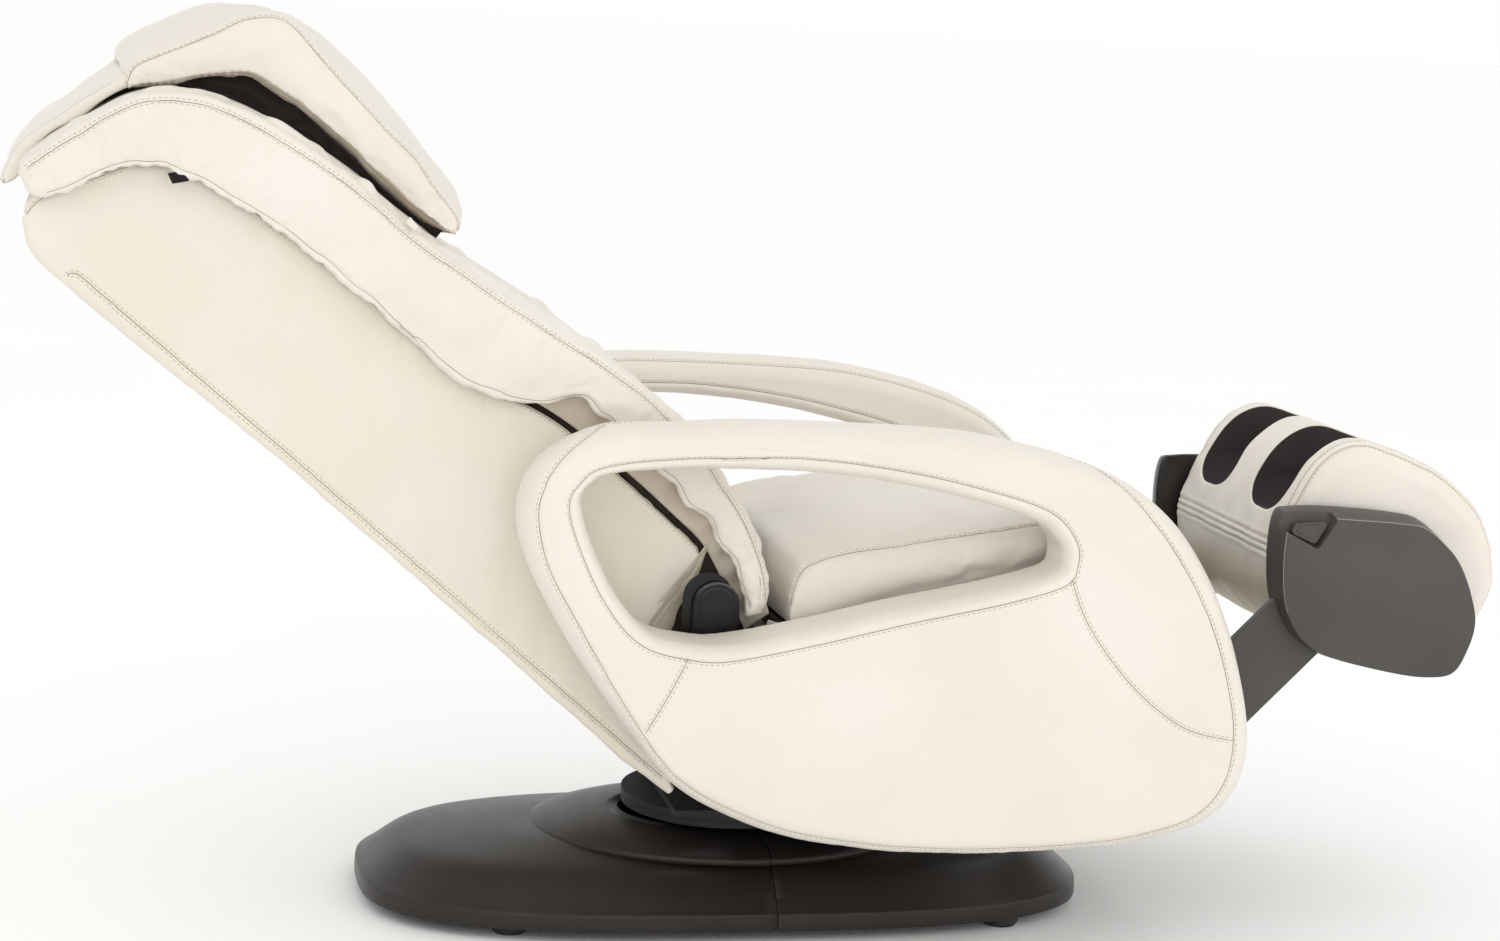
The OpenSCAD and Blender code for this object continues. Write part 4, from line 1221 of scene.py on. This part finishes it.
# two layered strips that end the shell beside the hinge
def end_strip(name, sg, off0, off1, y0, y1, seed):
    base = even([(55, 58), (20, 54), (-40, 50), (-84, 44), (-104, 22), (-124, -8), (-146, -42), (-166, -84)], 90)
    t = np.gradient(base, axis=0)
    t /= np.linalg.norm(t, axis=1)[:, None]
    nrm = np.stack([-t[:, 1], t[:, 0]], 1)
    if nrm[20] @ np.array([0, -1.0]) < 0:
        nrm = -nrm
    wv = Waves(42.0, seed, n=8)
    rows = []
    m = 15
    for k in range(90):
        taper = math.sin(math.pi * min(1.0, (k + 3) / 46.0) / 2) * (1 if k < 70 else math.cos(math.pi * (k - 70) / 42.0))
        P = []
        for q in range(m):
            x = q / (m - 1.0)
            o = off0 + (off1 - off0) * x
            f = 1.1 * float(wv(np.array([[k * 2.6, x * 12.0, 0.0]]))[0]) * math.sin(math.pi * x)
            pt = base[k] + nrm[k] * o * taper
            P.append((pt[0], y0 + (y1 - y0) * x ** 1.6 + f, pt[1]))
        P = np.array(P)
        w = back_xz(P[:, [0, 2]])
        rows.append(np.stack([w[:, 0], sg * P[:, 1], w[:, 1]], 1))
    R = np.stack(rows)
    ob = new_object(name, R.reshape(-1, 3) * MM, grid_faces(90, m, False, False))
    md = ob.modifiers.new("cloth", "SOLIDIFY")
    md.thickness = 0.0016
    md.offset = 0
    apply_modifiers(ob)
    ln = float(np.linalg.norm(np.diff(R[:, m // 2], axis=0), axis=1).sum()) * MM
    ww = np.linalg.norm(np.diff(R, axis=1), axis=2).sum(1) * MM
    return ob, (round(float(ww.max()), 4), round(ln, 4)), float(ww.mean() * ln)


for side, sg in (("right", -1), ("left", 1)):
    for tag, o0, o1, ya, yb, sd in (("outer", -7.0, 17.0, 222.5, 217.5, 3), ("inner", 8.0, 34.0, 219.5, 214.8, 8)):
        st, flat, ar = end_strip("shell_end_%s_%s" % (tag, side), sg, o0, o1, ya, yb, sd)
        finish_piece(st, "back", LINING_AND_SHADE)

# ------------------------------------------------------------------ head pillow
PL_U = [[9, 889], [14, 901], [34, 905], [80, 889], [124, 868], [160, 841], [180, 797], [189, 730], [183, 640], [169, 556], [160, 516], [147, 500], [126, 507]]
PL_US = [[6, 873], [12, 882], [32, 886], [68, 868], [112, 847], [151, 831], [177, 796], [172, 735], [161, 640], [151, 556], [145, 522], [137, 508], [126, 506]]
PL_D = [[9, 889], [14, 877], [24, 861], [40, 845], [62, 825], [80, 806], [98, 782], [107, 731], [105, 660], [103, 590], [104, 555], [110, 522], [126, 507]]
PL_DS = [[6, 873], [12, 866], [24, 855], [42, 841], [63, 825], [83, 808], [103, 783], [114, 735], [116, 665], [119, 600], [118, 558], [119, 524], [126, 506]]
keys = np.linspace(0, 12, 128)
U, D = cr(PL_U, False, keys), cr(PL_D, False, keys)
pil, pil_seams = slab("head_pillow_cover", back_xz(U), back_xz(D), 196.0, 13.0, 10.0, top_crown=0.0, side_crown=3.0, bot_crown=0.0, nw=46, nh=12, na=10,
                      US=back_xz(cr(PL_US, False, keys)), DS=back_xz(cr(PL_DS, False, keys)), blend=2.4, bot_w=24.0)
puff(pil, pressure=3.0, cap=5.0, frames=14, pins=pil_seams)
subdivide(pil)
pil_top = [project(pil, l[5:-5]) for l in pil_seams[:2]]
pil_bot = [project(pil, l[8:-8]) for l in pil_seams[2:]]
ripple(pil, 1.1, 100, 61, squeeze=(1.3, 0.5, 1.0))
seam_groove(pil, pil_top, depth=1.5, width=2.4, pucker=0.7, wave=28, reach=22, seed=71)
seam_groove(pil, pil_bot, depth=1.0, width=2.6, pucker=0.5, wave=22, reach=14, seed=73)
# facets facing down onto the pad get the darker leather as painted shade
nf = np.zeros(len(pil.data.polygons) * 3)
pil.data.polygons.foreach_get("normal", nf)
nf = nf.reshape(-1, 3)
pil.data.polygons.foreach_set("material_index", (nf[:, 0] * CA - nf[:, 2] * SA < -0.62).astype(np.int32))
finish_piece(pil, "pillow", CREAM, ["head_pillow"], second=LINING_AND_SHADE)
seam_mark("pillow_seams", "pillow", pil, pil_top + pil_bot)
stitches("pillow_stitches", "pillow", pil, double(pil_top, pil, 2.6)[::2], THREAD)

# black knit under the pillow
keys = np.linspace(1.6, 11.3, 90)
UD = cr(PL_D, False, keys)
pf_dense = cr(PF, False, np.linspace(0, 19, 1901))
LD = []
for q in UD:
    k = np.linalg.norm(pf_dense - q, axis=1).argmin()
    gap = np.linalg.norm(pf_dense[k] - q)
    side_in = (q - pf_dense[k]) / max(gap, 1e-6)
    LD.append(q - side_in * max(1.2, gap - 4.0))
LD = np.array(LD)
inn = UD + (UD - LD) / np.maximum(np.linalg.norm(UD - LD, axis=1), 1e-6)[:, None] * 7.0
under, _ = slab("pillow_underside", back_xz(inn), back_xz(LD), 171.0, 4.0, 7.0, nw=40, nh=5, na=5)
subdivide(under)
ripple(under, 0.8, 60, 66)
finish_piece(under, "pillow", BLACK)

# flap that joins the pillow to the top of the back
FL_U = [[24, 892], [14, 900], [1, 903], [-28, 908], [-58, 913], [-86, 920], [-108, 922], [-130, 920], [-150, 914], [-159, 908]]
FL_D = [[24, 892], [15, 887], [1, 892], [-28, 898], [-56, 903], [-82, 909], [-104, 911], [-124, 908], [-146, 902], [-159, 908]]
keys = np.linspace(0, 9, 94)
fl, fl_seams = slab("pillow_flap_cover", back_xz(cr(FL_U, False, keys)), back_xz(cr(FL_D, False, keys)), 187.0, 4.0, 4.0, top_crown=0.0, nw=48, nh=4, na=5,
                    droop=lambda x, i: -(18.0 - 13.0 * min(1.0, i / 70.0)) * np.abs(x) ** 2.6)
subdivide(fl)
ripple(fl, 1.3, 60, 23, squeeze=(1.0, 0.5, 1.0))
fl.data.materials.clear()
fl.data.materials.append(CREAM)
# its end is sewn inside the pillow and turns with it
b0, b1 = back_xz(np.array([2.0, 903.0])) * MM, back_xz(np.array([21.0, 899.0])) * MM
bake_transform(fl, "back", "pillow", start=(b0[0], 0.0, b0[1]), end=(b1[0], 0.0, b1[1]))
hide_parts("pillow_flap")
fl_lines = [project(fl, l[22:-4] * np.array([1, 0.975, 1])) for l in fl_seams[:2]]
seam_mark("flap_seams", "back", fl, fl_lines, width=0.7)

# small dark hook tab and zip pull on each side
for side, sg in (("right", -1), ("left", 1)):
    tb = plate("pad_tab_" + side, back_xz(np.array([[-33, 786], [-20, 776], [-24, 764], [-38, 775]])), sg * 251.5, sg * 247.0, bevel=0.5, steps=2, smooth_curve=False)
    finish_piece(tb, "back", BLACK)
    zp = plate("zip_pull_" + side, back_xz(tri_round([[38, -46], [44, -60], [30, -66], [26, -52]], 2.0, 4)), sg * 255.2, sg * 252.8, bevel=0.6, steps=2, smooth_curve=False)
    finish_piece(zp, "back", STEEL)
    ze = plate("zip_end_" + side, back_xz(tri_round([[106, 562], [104, 548], [97, 549], [99, 563]], 1.5, 4)), sg * 243.0, sg * 236.0, bevel=0.6, steps=2, smooth_curve=False)
    finish_piece(ze, "back", CREAM)

# ------------------------------------------------------------------ calf massager
ROLL = [[617, 404], [611, 436], [611, 470], [620, 505], [637, 543], [659, 577], [686, 597], [716, 603], [752, 594],
        [804, 574], [850, 545], [884, 506], [902, 456], [902, 416], [882, 374], [834, 346], [772, 331], [710, 334], [664, 351], [634, 374]]
AX = np.array([740.0, 440.0])
WELL_P, WELL_D = np.array([596.0, 536.0]), np.array([math.sin(math.radians(65)), math.cos(math.radians(65))])
_p = even(ROLL, 1200, closed=True)
_th = np.arctan2(_p[:, 1] - AX[1], _p[:, 0] - AX[0])
_rr = np.linalg.norm(_p - AX, axis=1)
_o = np.argsort(_th)
_th, _rr = _th[_o], _rr[_o]
MT = np.linspace(-math.pi, math.pi, 320, endpoint=False)
MR = np.interp(MT, np.concatenate([_th - 2 * math.pi, _th, _th + 2 * math.pi]), np.concatenate([_rr, _rr, _rr]))
MAS_HALF, MAS_RND = 180.0, 44.0
WELL_W, WELL_R = 54.0, 42.0


def massager():
    T, R, nt = MT, MR, len(MT)
    half, rnd = MAS_HALF, MAS_RND
    cols = [("cap", -1, x) for x in np.linspace(0.03, 0.93, 12)] + [("arc", -1, x) for x in np.linspace(0, 1, 14)]
    ny = 128
    cols += [("body", 0, q / ny) for q in range(1, ny)]
    cols += [("arc", 1, x) for x in np.linspace(1, 0, 14)] + [("cap", 1, x) for x in np.linspace(0.93, 0.03, 12)]
    nrm = np.array([-WELL_D[1], WELL_D[0]])
    cosT, sinT = np.cos(T), np.sin(T)
    # length along the roll from the slots' low end, rising over the top
    pr = np.stack([R * cosT, R * sinT], 1)
    cum = np.concatenate([[0], np.cumsum(np.linalg.norm(np.diff(np.concatenate([pr, pr[:1]]), axis=0), axis=1))])
    total = cum[-1]
    low = np.interp(math.radians(151.5), T, cum[:-1])
    arc_s = (low - cum[:-1] + total / 2) % total - total / 2
    arc_end = float((low - np.interp(math.radians(38.0), T, cum[:-1])))
    den = cosT * nrm[0] + sinT * nrm[1]
    rows, mask = [], []
    for kind, sg, x in cols:
        if kind == "cap":
            y = np.full(nt, sg * half + sg * 6.0 * (1 - x ** 2))
            r = (R - rnd * 0.7) * x
        elif kind == "arc":
            a = math.radians(90 * x)
            y = np.full(nt, sg * (half - rnd * 0.62 * (1 - math.cos(a))))
            r = R - rnd * 0.7 * (1 - math.sin(a))
        else:
            lim = half - rnd * 0.62
            y = np.full(nt, -lim + 2 * lim * x)
            r = R.copy()
        inside = np.full(nt, -1.0)
        if kind != "cap":
            yy = float(y[0])
            for wy in (-86.0, 86.0):
                dy = abs(yy - wy)
                # signed distance into a slot with a rounded low end
                qx, qs = dy - (WELL_W - WELL_R), WELL_R - arc_s
                sd = np.minimum(np.maximum(qx, qs), 0) + np.hypot(np.maximum(qx, 0), np.maximum(qs, 0)) - WELL_R
                din = -sd
                if (din > -3).any():
                    s = math.sqrt(max(50.0 ** 2 - min(dy, 50.0) ** 2, 0))
                    off = (WELL_P - AX) @ nrm - s
                    rl = np.where(den > 0.05, off / np.maximum(den, 0.05), 1e6)
                    cyl = np.where((rl > 20) & (rl < r), r - rl, 0.0)
                    floor_d = np.maximum(cyl, 15.0 * np.clip(arc_s / 30.0, 0.3, 1) * np.clip((arc_end - arc_s) / 40.0, 0, 1))
                    wall = np.where(din < 5.0, 0.30 * np.clip(din, 0, 5) ** 2, 7.5 + 3.2 * (din - 5.0))
                    depth = np.minimum(wall, floor_d)
                    depth = np.where((arc_s > -40) & (arc_s < arc_end), depth, 0.0)
                    r = r - depth
                    inside = np.maximum(inside, np.where((arc_s > -60) & (arc_s < arc_end + 10), np.clip(np.minimum(din, arc_end - arc_s) / 4.0, -1, 1), -1.0))
        rows.append(np.stack([AX[0] + r * cosT, y, AX[1] + r * sinT], 1))
        mask.append(inside)
    P = np.stack(rows)
    ob = new_object("calf_massager_cover", P.reshape(-1, 3) * MM, grid_faces(len(cols), nt, False, True))
    at = ob.data.attributes.new("well", "FLOAT", "POINT")
    at.data.foreach_set("value", np.stack(mask).ravel().astype(np.float32))
    bm = bmesh.new()
    bm.from_mesh(ob.data)
    loops = {}
    for e in bm.edges:
        if e.is_boundary:
            loops.setdefault(e.verts[0].co.y > 0, []).append(e)
    lay = bm.verts.layers.float["well"]
    for pos, es in loops.items():
        vs = {v for e in es for v in e.verts}
        c = bm.verts.new(sum((v.co for v in vs), Vector()) / len(vs))
        c[lay] = -1.0
        for e in es:
            bm.faces.new((e.verts[0], e.verts[1], c))
    bmesh.ops.recalc_face_normals(bm, faces=bm.faces)
    bm.to_mesh(ob.data)
    bm.free()
    ob.data.shade_smooth()
    return ob


def massager_material():
    m = leather("massager_leather", LIGHT_A, LIGHT_B)
    nt = m.node_tree
    N, L = nt.nodes, nt.links
    p = N["Principled BSDF"]
    at = N.new("ShaderNodeAttribute")
    at.attribute_name = "well"
    k = maprange(N, L, at.outputs["Fac"], 0.0, 1.0, 0.42, 0.58)
    tc = N.new("ShaderNodeTexCoord").outputs["Object"]
    fz = noise(N, L, tc, 900.0, 3.0, 0.7)
    dark = ramp(N, L, fz, [(0.3, srgb(22, 17, 16)), (0.7, srgb(38, 30, 27))])
    band = N.new("ShaderNodeAttribute")
    band.attribute_name = "under"
    kb = maprange(N, L, band.outputs["Fac"], 0.0, 1.0, 0.0, 1.0)
    tan = ramp(N, L, noise(N, L, tc, 20.0, 4.0), [(0.3, srgb(189, 174, 146)), (0.7, srgb(203, 189, 162))])
    old = p.inputs["Base Color"].links[0].from_socket
    c1 = mix_rgb(N, L, kb, old, tan)
    L.new(mix_rgb(N, L, k, c1, dark), p.inputs["Base Color"])
    ro = p.inputs["Roughness"].links[0].from_socket
    r = N.new("ShaderNodeMix")
    r.data_type = "FLOAT"
    L.new(k, r.inputs[0])
    L.new(ro, r.inputs[2])
    r.inputs[3].default_value = 0.8
    L.new(r.outputs[0], p.inputs["Roughness"])
    return m


mas = massager()
subdivide(mas)


def roll_r(a):
    return np.interp(a, np.concatenate([MT - 2 * math.pi, MT, MT + 2 * math.pi]), np.concatenate([MR, MR, MR]))


def roll_line(a0, a1, y, n=120, cut=0.0):
    a = np.linspace(math.radians(a0), math.radians(a1), n)
    aw = (a + math.pi) % (2 * math.pi) - math.pi
    r = roll_r(aw) - cut
    return np.stack([AX[0] + r * np.cos(a), np.full(n, y), AX[1] + r * np.sin(a)], 1) * MM


def across(a, y0, y1, n=90):
    r = float(roll_r(math.radians(a))) + 0.5
    return np.stack([np.full(n, AX[0] + r * math.cos(math.radians(a))), np.linspace(y0, y1, n),
                     np.full(n, AX[1] + r * math.sin(math.radians(a)))], 1) * MM


co = get_co(mas)
ang = np.degrees(np.arctan2(co[:, 2] / MM - AX[1], co[:, 0] / MM - AX[0])) % 360
under_w = np.where(ang < 300, np.clip((ang - 172.0) / 34.0, 0, 1), 0.0)
at = mas.data.attributes.new("under", "FLOAT", "POINT")
at.data.foreach_set("value", under_w.astype(np.float32))
mas_cheek = [project(mas, roll_line(-62, 160, sg * (MAS_HALF - MAS_RND * 0.62 * (1 - math.cos(math.radians(a)))), 160, MAS_RND * 0.7 * (1 - math.sin(math.radians(a)))))
             for sg in (-1, 1) for a in (82.0, 58.0)]
mas_band = [project(mas, across(a, -166, 166)) for a in (164.5, 168.0, 171.5)]
ripple(mas, 0.6, 90, 91)
seam_groove(mas, mas_cheek, depth=1.3, width=2.4, pucker=0.3, wave=26, reach=12, seed=81)
seam_groove(mas, mas_band, depth=1.3, width=1.9, ridge=0.8, pucker=0.2, wave=20, reach=5, seed=83)
MAS_MAT = massager_material()
finish_piece(mas, "massager", MAS_MAT, ["calf_massager", "well_liner_right", "well_liner_left"])
seam_mark("massager_seams", "massager", mas, mas_cheek)
stitches("massager_stitches", "massager", mas, double(mas_cheek, mas, 3.0)[::2], THREAD)
stitches("massager_band_stitches", "massager", mas, mas_band, THREAD_DARK)

# ------------------------------------------------------------------ base covers
BASE_C = -22.5
PROFILE = [(14.0, 1.6), (14.6, 0.5), (15.8, 0.0), (22.0, 0.0), (29.0, 0.2), (33.0, 0.5), (34.6, 1.0), (35.6, 2.2), (37.0, 4.6), (39.6, 8.0), (43.6, 12.6),
           (48.6, 18.4), (54.2, 25.2), (59.8, 32.0), (64.6, 38.4), (68.6, 45.0), (71.8, 52.0), (74.2, 60.0), (76.6, 71.0), (79.0, 86.0), (81.6, 106.0),
           (84.0, 128.0), (86.0, 150.0)]


def oval(a, b, e, n):
    t = np.linspace(0, 2 * math.pi, n, endpoint=False)
    return np.stack([BASE_C + a * np.sign(np.cos(t)) * np.abs(np.cos(t)) ** e, b * np.sign(np.sin(t)) * np.abs(np.sin(t)) ** e], 1)


def base_pieces():
    n = 320
    t = np.linspace(0, 2 * math.pi, n, endpoint=False)
    rings = []
    for z, ins in PROFILE:
        k = min(1.0, ins / 150.0)
        o = oval(447.0 - ins, 226.0 - ins * 0.80, 0.68 + 0.18 * k, n)
        rings.append(np.column_stack([o, np.full(n, z)]))
    boss = []
    for z, k in ((80.0, 1.014), (85.4, 1.008), (87.6, 1.003), (88.6, 0.994), (90.4, 0.972), (93.4, 0.93), (96.6, 0.87), (99.2, 0.80), (101.2, 0.71), (102.4, 0.62), (102.8, 0.548)):
        boss.append(np.column_stack([BASE_C + 236.0 * k * np.cos(t), 176.0 * k * np.sin(t), np.full(n, z)]))
    deck = [rings[-1], np.column_stack([BASE_C + 0.80 * (rings[-1][:, 0] - BASE_C), 0.80 * rings[-1][:, 1], np.full(n, 87.4)]),
            np.column_stack([BASE_C + 0.58 * (rings[-1][:, 0] - BASE_C), 0.58 * rings[-1][:, 1], np.full(n, 87.8)])]
    out = []
    for nm, keep_front in (("base_cover_rear_skin", False), ("base_cover_front_skin", True)):
        V, F = [], []
        for grid in (np.stack(rings), np.stack(boss), np.stack(deck)):
            b0 = len(V)
            V += [tuple(v) for v in grid.reshape(-1, 3)]
            F += [tuple(b0 + i for i in f) for f in grid_faces(len(grid), n, False, True)]
        ob = new_object(nm, np.array(V) * MM, F)
        bm = bmesh.new()
        bm.from_mesh(ob.data)
        bmesh.ops.remove_doubles(bm, verts=bm.verts, dist=1e-5)
        bmesh.ops.recalc_face_normals(bm, faces=bm.faces)
        cut = 4.4 if keep_front else 3.2
        bmesh.ops.bisect_plane(bm, geom=bm.verts[:] + bm.edges[:] + bm.faces[:], plane_co=(cut * MM, 0, 0), plane_no=(1, 0, 0),
                               clear_outer=not keep_front, clear_inner=keep_front)
        up = [f for f in bm.faces if f.calc_center_median().z > 0.08]
        if sum(f.normal.z for f in up) < 0:
            bmesh.ops.reverse_faces(bm, faces=bm.faces)
        bm.to_mesh(ob.data)
        bm.free()
        ob.data.shade_smooth()
        sol = ob.modifiers.new("wall", "SOLIDIFY")
        sol.thickness = 0.0035
        sol.offset = -1
        apply_modifiers(ob)
        out.append(ob)
    return out


rear_skin, front_skin = base_pieces()
finish_piece(rear_skin, "base", BASE, ["base_cover_rear"])
finish_piece(front_skin, "base", BASE, ["base_cover_front"])

# ------------------------------------------------------------------ leg rest plates, bars, button
PLATE_L = [[594, 518], [612, 526], [660, 527], [744, 521], [786, 510], [828, 468], [851, 419], [857, 384], [846, 346],
           [832, 326], [808, 320], [763, 323], [683, 340], [643, 356], [615, 380], [597, 417], [590, 470]]


def inset(p, d):
    t = np.roll(p, -1, 0) - np.roll(p, 1, 0)
    t /= np.linalg.norm(t, axis=1)[:, None]
    nrm = np.stack([t[:, 1], -t[:, 0]], 1)
    if (nrm * (p - p.mean(0))).sum() < 0:
        nrm = -nrm
    return p - nrm * (d[:, None] if hasattr(d, "__len__") else d)


def side_plate(name, sg):
    p = even(PLATE_L, 240, closed=True)
    c = np.array([728.0, 424.0])
    # the outer face is drawn in at the top and rear, where the rim slopes back
    dirn = (p - c) / np.linalg.norm(p - c, axis=1)[:, None]
    draft = 3.0 + 6.5 * np.clip(dirn @ np.array([-0.50, 0.87]), 0, 1) ** 0.8
    rings = []
    bev = 1.6
    for q in range(5):
        a = math.pi / 2 * q / 4
        rings.append((inset(p, draft + bev * (1 - math.sin(a))), 228.0 - bev * (1 - math.cos(a))))
    for q in range(1, 9):
        x = q / 8.0
        rings.append((inset(p, draft * (1 - x) ** 1.5), 226.4 - (226.4 - 194.0) * x))
    for q in range(1, 5):
        a = math.pi / 2 * q / 4
        rings.append((inset(p, np.full(len(p), 2.0 * (1 - math.cos(a)))), 194.0 - 3.7 * math.sin(a)))
    m = len(p)
    V = np.concatenate([np.stack([r[:, 0], np.full(m, sg * y), r[:, 1]], 1) for r, y in rings]) * MM
    F = [tuple(f) for f in grid_faces(len(rings), m, False, True)] + [tuple(reversed(range(m))), tuple((len(rings) - 1) * m + k for k in range(m))]
    ob = new_object(name, V, F)
    bm = bmesh.new()
    bm.from_mesh(ob.data)
    bmesh.ops.recalc_face_normals(bm, faces=bm.faces)
    bmesh.ops.triangulate(bm, faces=[f for f in bm.faces if len(f.verts) > 4])
    bm.to_mesh(ob.data)
    bm.free()
    return ob


def prism(name, poly, y0, y1, scale1=1.0):
    """Closed prism, its far end scaled about the first side's middle, for cutting."""
    p = np.asarray(poly, float)
    c = p.mean(0)
    m = len(p)
    V = np.concatenate([np.stack([p[:, 0], np.full(m, y0), p[:, 1]], 1),
                        np.stack([c[0] + (p[:, 0] - c[0]) * scale1, np.full(m, y1), c[1] + (p[:, 1] - c[1]) * scale1], 1)]) * MM
    F = [tuple(f) for f in grid_faces(2, m, False, True)] + [tuple(reversed(range(m))), tuple(m + k for k in range(m))]
    ob = new_object(name, V, F, smooth=False)
    bm = bmesh.new()
    bm.from_mesh(ob.data)
    bmesh.ops.recalc_face_normals(bm, faces=bm.faces)
    bm.to_mesh(ob.data)
    bm.free()
    return ob


for side, sg in (("right", -1), ("left", 1)):
    pl = side_plate("side_plate_skin_" + side, sg)
    # the corner recess that holds the release button, with a sloping wall on its far side
    cutter = prism("cut", [[580, 508], [597, 500], [640, 478.5], [644, 480.0], [664, 512], [664, 518], [655, 545], [580, 545]], sg * 244.0, sg * 212.6, 0.90)
    bo = pl.modifiers.new("cut", "BOOLEAN")
    bo.operation = "DIFFERENCE"
    bo.object = cutter
    bo.solver = "EXACT"
    apply_modifiers(pl)
    bpy.data.objects.remove(cutter, do_unlink=True)
    # the bevelled edges take the second, lighter material as a painted highlight along the plate's edges and the recess
    bv = pl.modifiers.new("edges", "BEVEL")
    bv.width = 0.0016
    bv.segments = 2
    bv.limit_method = "ANGLE"
    bv.angle_limit = math.radians(34)
    bv.material = 1
    pl.data.materials.append(PLATE)
    pl.data.materials.append(PLATE_PAINTED_HIGHLIGHT)
    apply_modifiers(pl)
    pl.data.shade_smooth()
    pl.data.set_sharp_from_angle(angle=math.radians(32))
    finish_piece(pl, "leg_carriage", PLATE, ["side_plate_" + side], second=PLATE_PAINTED_HIGHLIGHT)
    # the face towards the massager is darker and glossier; the painted highlight is taken off the inner bevels and the
    # lower and front rims, and laid on the outer face's rounded rim
    pl.data.materials.append(PLATE_DARK)
    for f in pl.data.polygons:
        c = f.center / MM
        if f.normal.y * sg < -0.6 and abs(c.y) < 205:
            f.material_index = 2
        elif f.material_index == 1 and (abs(c.y) < 211 or (c.x > 700 and c.z < 440) or c.z < 400):
            f.material_index = 0
        elif abs(c.y) > 226.0 and 0.2 < abs(f.normal.y) < 0.93 and not ((c.x > 700 and c.z < 440) or c.z < 400):
            f.material_index = 1
    bt = plate("release_button_skin_" + side, tri_round([[606.0, 497.5], [612, 510], [654.5, 513.0], [639, 484.5]], 6.0, 8), sg * 225.0, sg * 216.2, bevel=1.6, steps=4, smooth_curve=False)
    bt2 = plate("ridge", tri_round([[613.0, 499.5], [617, 507], [646.5, 509.5], [636, 491]], 4.5, 8), sg * 226.2, sg * 223.0, bevel=1.0, steps=3, smooth_curve=False)
    bpy.context.view_layer.update()
    bm = bmesh.new()
    bm.from_mesh(bt.data)
    bm.from_mesh(bt2.data)
    bm.to_mesh(bt.data)
    bm.free()
    bpy.data.objects.remove(bt2, do_unlink=True)
    finish_piece(bt, "release_" + side, PLATE, ["release_button_" + side])
    a, b, hb = np.array([470, 214.5]), np.array([662, 406.5]), 45.5
    d = (b - a) / np.linalg.norm(b - a)
    nn = np.array([-d[1], d[0]])
    bar_out = tri_round([a + nn * (hb + 2), b + nn * (hb + 5), b - nn * (hb - 5), a - nn * (hb - 2)], 3.0, 4)
    br = plate("slide_bar_skin_" + side, bar_out, sg * 208.0, sg * 196.2, bevel=1.6, steps=3, smooth_curve=False, back_bevel=1.6)
    finish_piece(br, "leg_carriage", PLATE)
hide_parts("leg_slide_bars")

# ------------------------------------------------------------------ hinge covers
def capsule(x, z, r, z0, n=28):
    p = [(x + r * math.cos(math.radians(180 - 180 * k / n)), z + r * math.sin(math.radians(180 - 180 * k / n))) for k in range(n + 1)]
    return np.array(p + [(x + r, z0), (x - r, z0)])


for side, sg in (("right", -1), ("left", 1)):
    hc = plate("hinge_cover_skin_" + side, capsule(-97, 411, 27.5, 352), sg * 260.0, sg * 251.5, bevel=3.4, steps=5, smooth_curve=False, back_bevel=0.4)
    lip = plate("lip", capsule(-97, 411, 20.5, 356), sg * 260.9, sg * 258.5, bevel=0.8, steps=3, smooth_curve=False, back_bevel=0.2)
    back_one = plate("shade", capsule(-106, 419, 29.0, 352), sg * 252.4, sg * 250.3, bevel=1.0, steps=3, smooth_curve=False, back_bevel=0.3)
    bm = bmesh.new()
    for o in (hc, lip, back_one):
        bm.from_mesh(o.data)
    bm.to_mesh(hc.data)
    bm.free()
    for o in (lip, back_one):
        bpy.data.objects.remove(o, do_unlink=True)
    finish_piece(hc, "seat", GLOSS, ["hinge_cover_" + side])
    # the upward-sloping bevel faces on the outer side get a lighter grey, a painted highlight
    hc.data.materials.append(GLOSS_PAINTED_HIGHLIGHT)
    for f in hc.data.polygons:
        n = f.normal
        if abs(n.y) > 0.25 and n.z > 0.35 and abs(f.center.y) > 0.2525:
            f.material_index = 1

# ------------------------------------------------------------------ metal and moulded nodes: softened edges
for nm, o in frame["nodes"].items():
    if o.hide_render or nm in ("seat_pan",):
        continue
    if len(o.data.polygons) < 6000:
        bv = o.modifiers.new("edges", "BEVEL")
        bv.width = 0.0006
        bv.segments = 2
        bv.limit_method = "ANGLE"
        bv.angle_limit = math.radians(40)


# ------------------------------------------------------------------ stage
def floor():
    me = bpy.data.meshes.new("floor")
    s = 150.0
    me.from_pydata([(-s, -s, 0), (s, -s, 0), (s, s, 0), (-s, s, 0)], [], [(0, 1, 2, 3)])
    o = bpy.data.objects.new("floor", me)
    scene.collection.objects.link(o)
    m, nt, p, N, L = nodes_of("floor_white")
    tc = N.new("ShaderNodeTexCoord").outputs["Object"]
    L.new(ramp(N, L, noise(N, L, tc, 1.5, 2.0), [(0.3, (0.98, 0.98, 0.98, 1)), (0.7, (0.99, 0.99, 0.99, 1))]), p.inputs["Base Color"])
    p.inputs["Roughness"].default_value = 0.85
    p.inputs["Specular IOR Level"].default_value = 0.2
    o.data.materials.append(m)
    return o


floor()


def area(name, loc, target, size, power, colour=(1, 1, 1)):
    d = bpy.data.lights.new(name, "AREA")
    d.energy = power
    d.size = size
    d.color = colour
    o = bpy.data.objects.new(name, d)
    o.location = loc
    o.rotation_euler = (Vector(target) - Vector(loc)).to_track_quat("-Z", "Y").to_euler()
    scene.collection.objects.link(o)
    return o


area("key", (-2.2, -3.0, 3.2), (0, 0, 0.5), 2.4, 11)
area("front", (-0.6, -4.8, 1.5), (0, 0, 0.5), 3.2, 25)
area("fill", (3.0, -2.6, 1.4), (0.3, 0, 0.45), 2.2, 12)
world = bpy.data.worlds.new("studio")
scene.world = world
world.use_nodes = True
bg = world.node_tree.nodes["Background"]
bg.inputs["Color"].default_value = (1.0, 0.998, 0.992, 1)
bg.inputs["Strength"].default_value = 1.0
scene.view_settings.view_transform = "Standard"
scene.view_settings.look = "None"
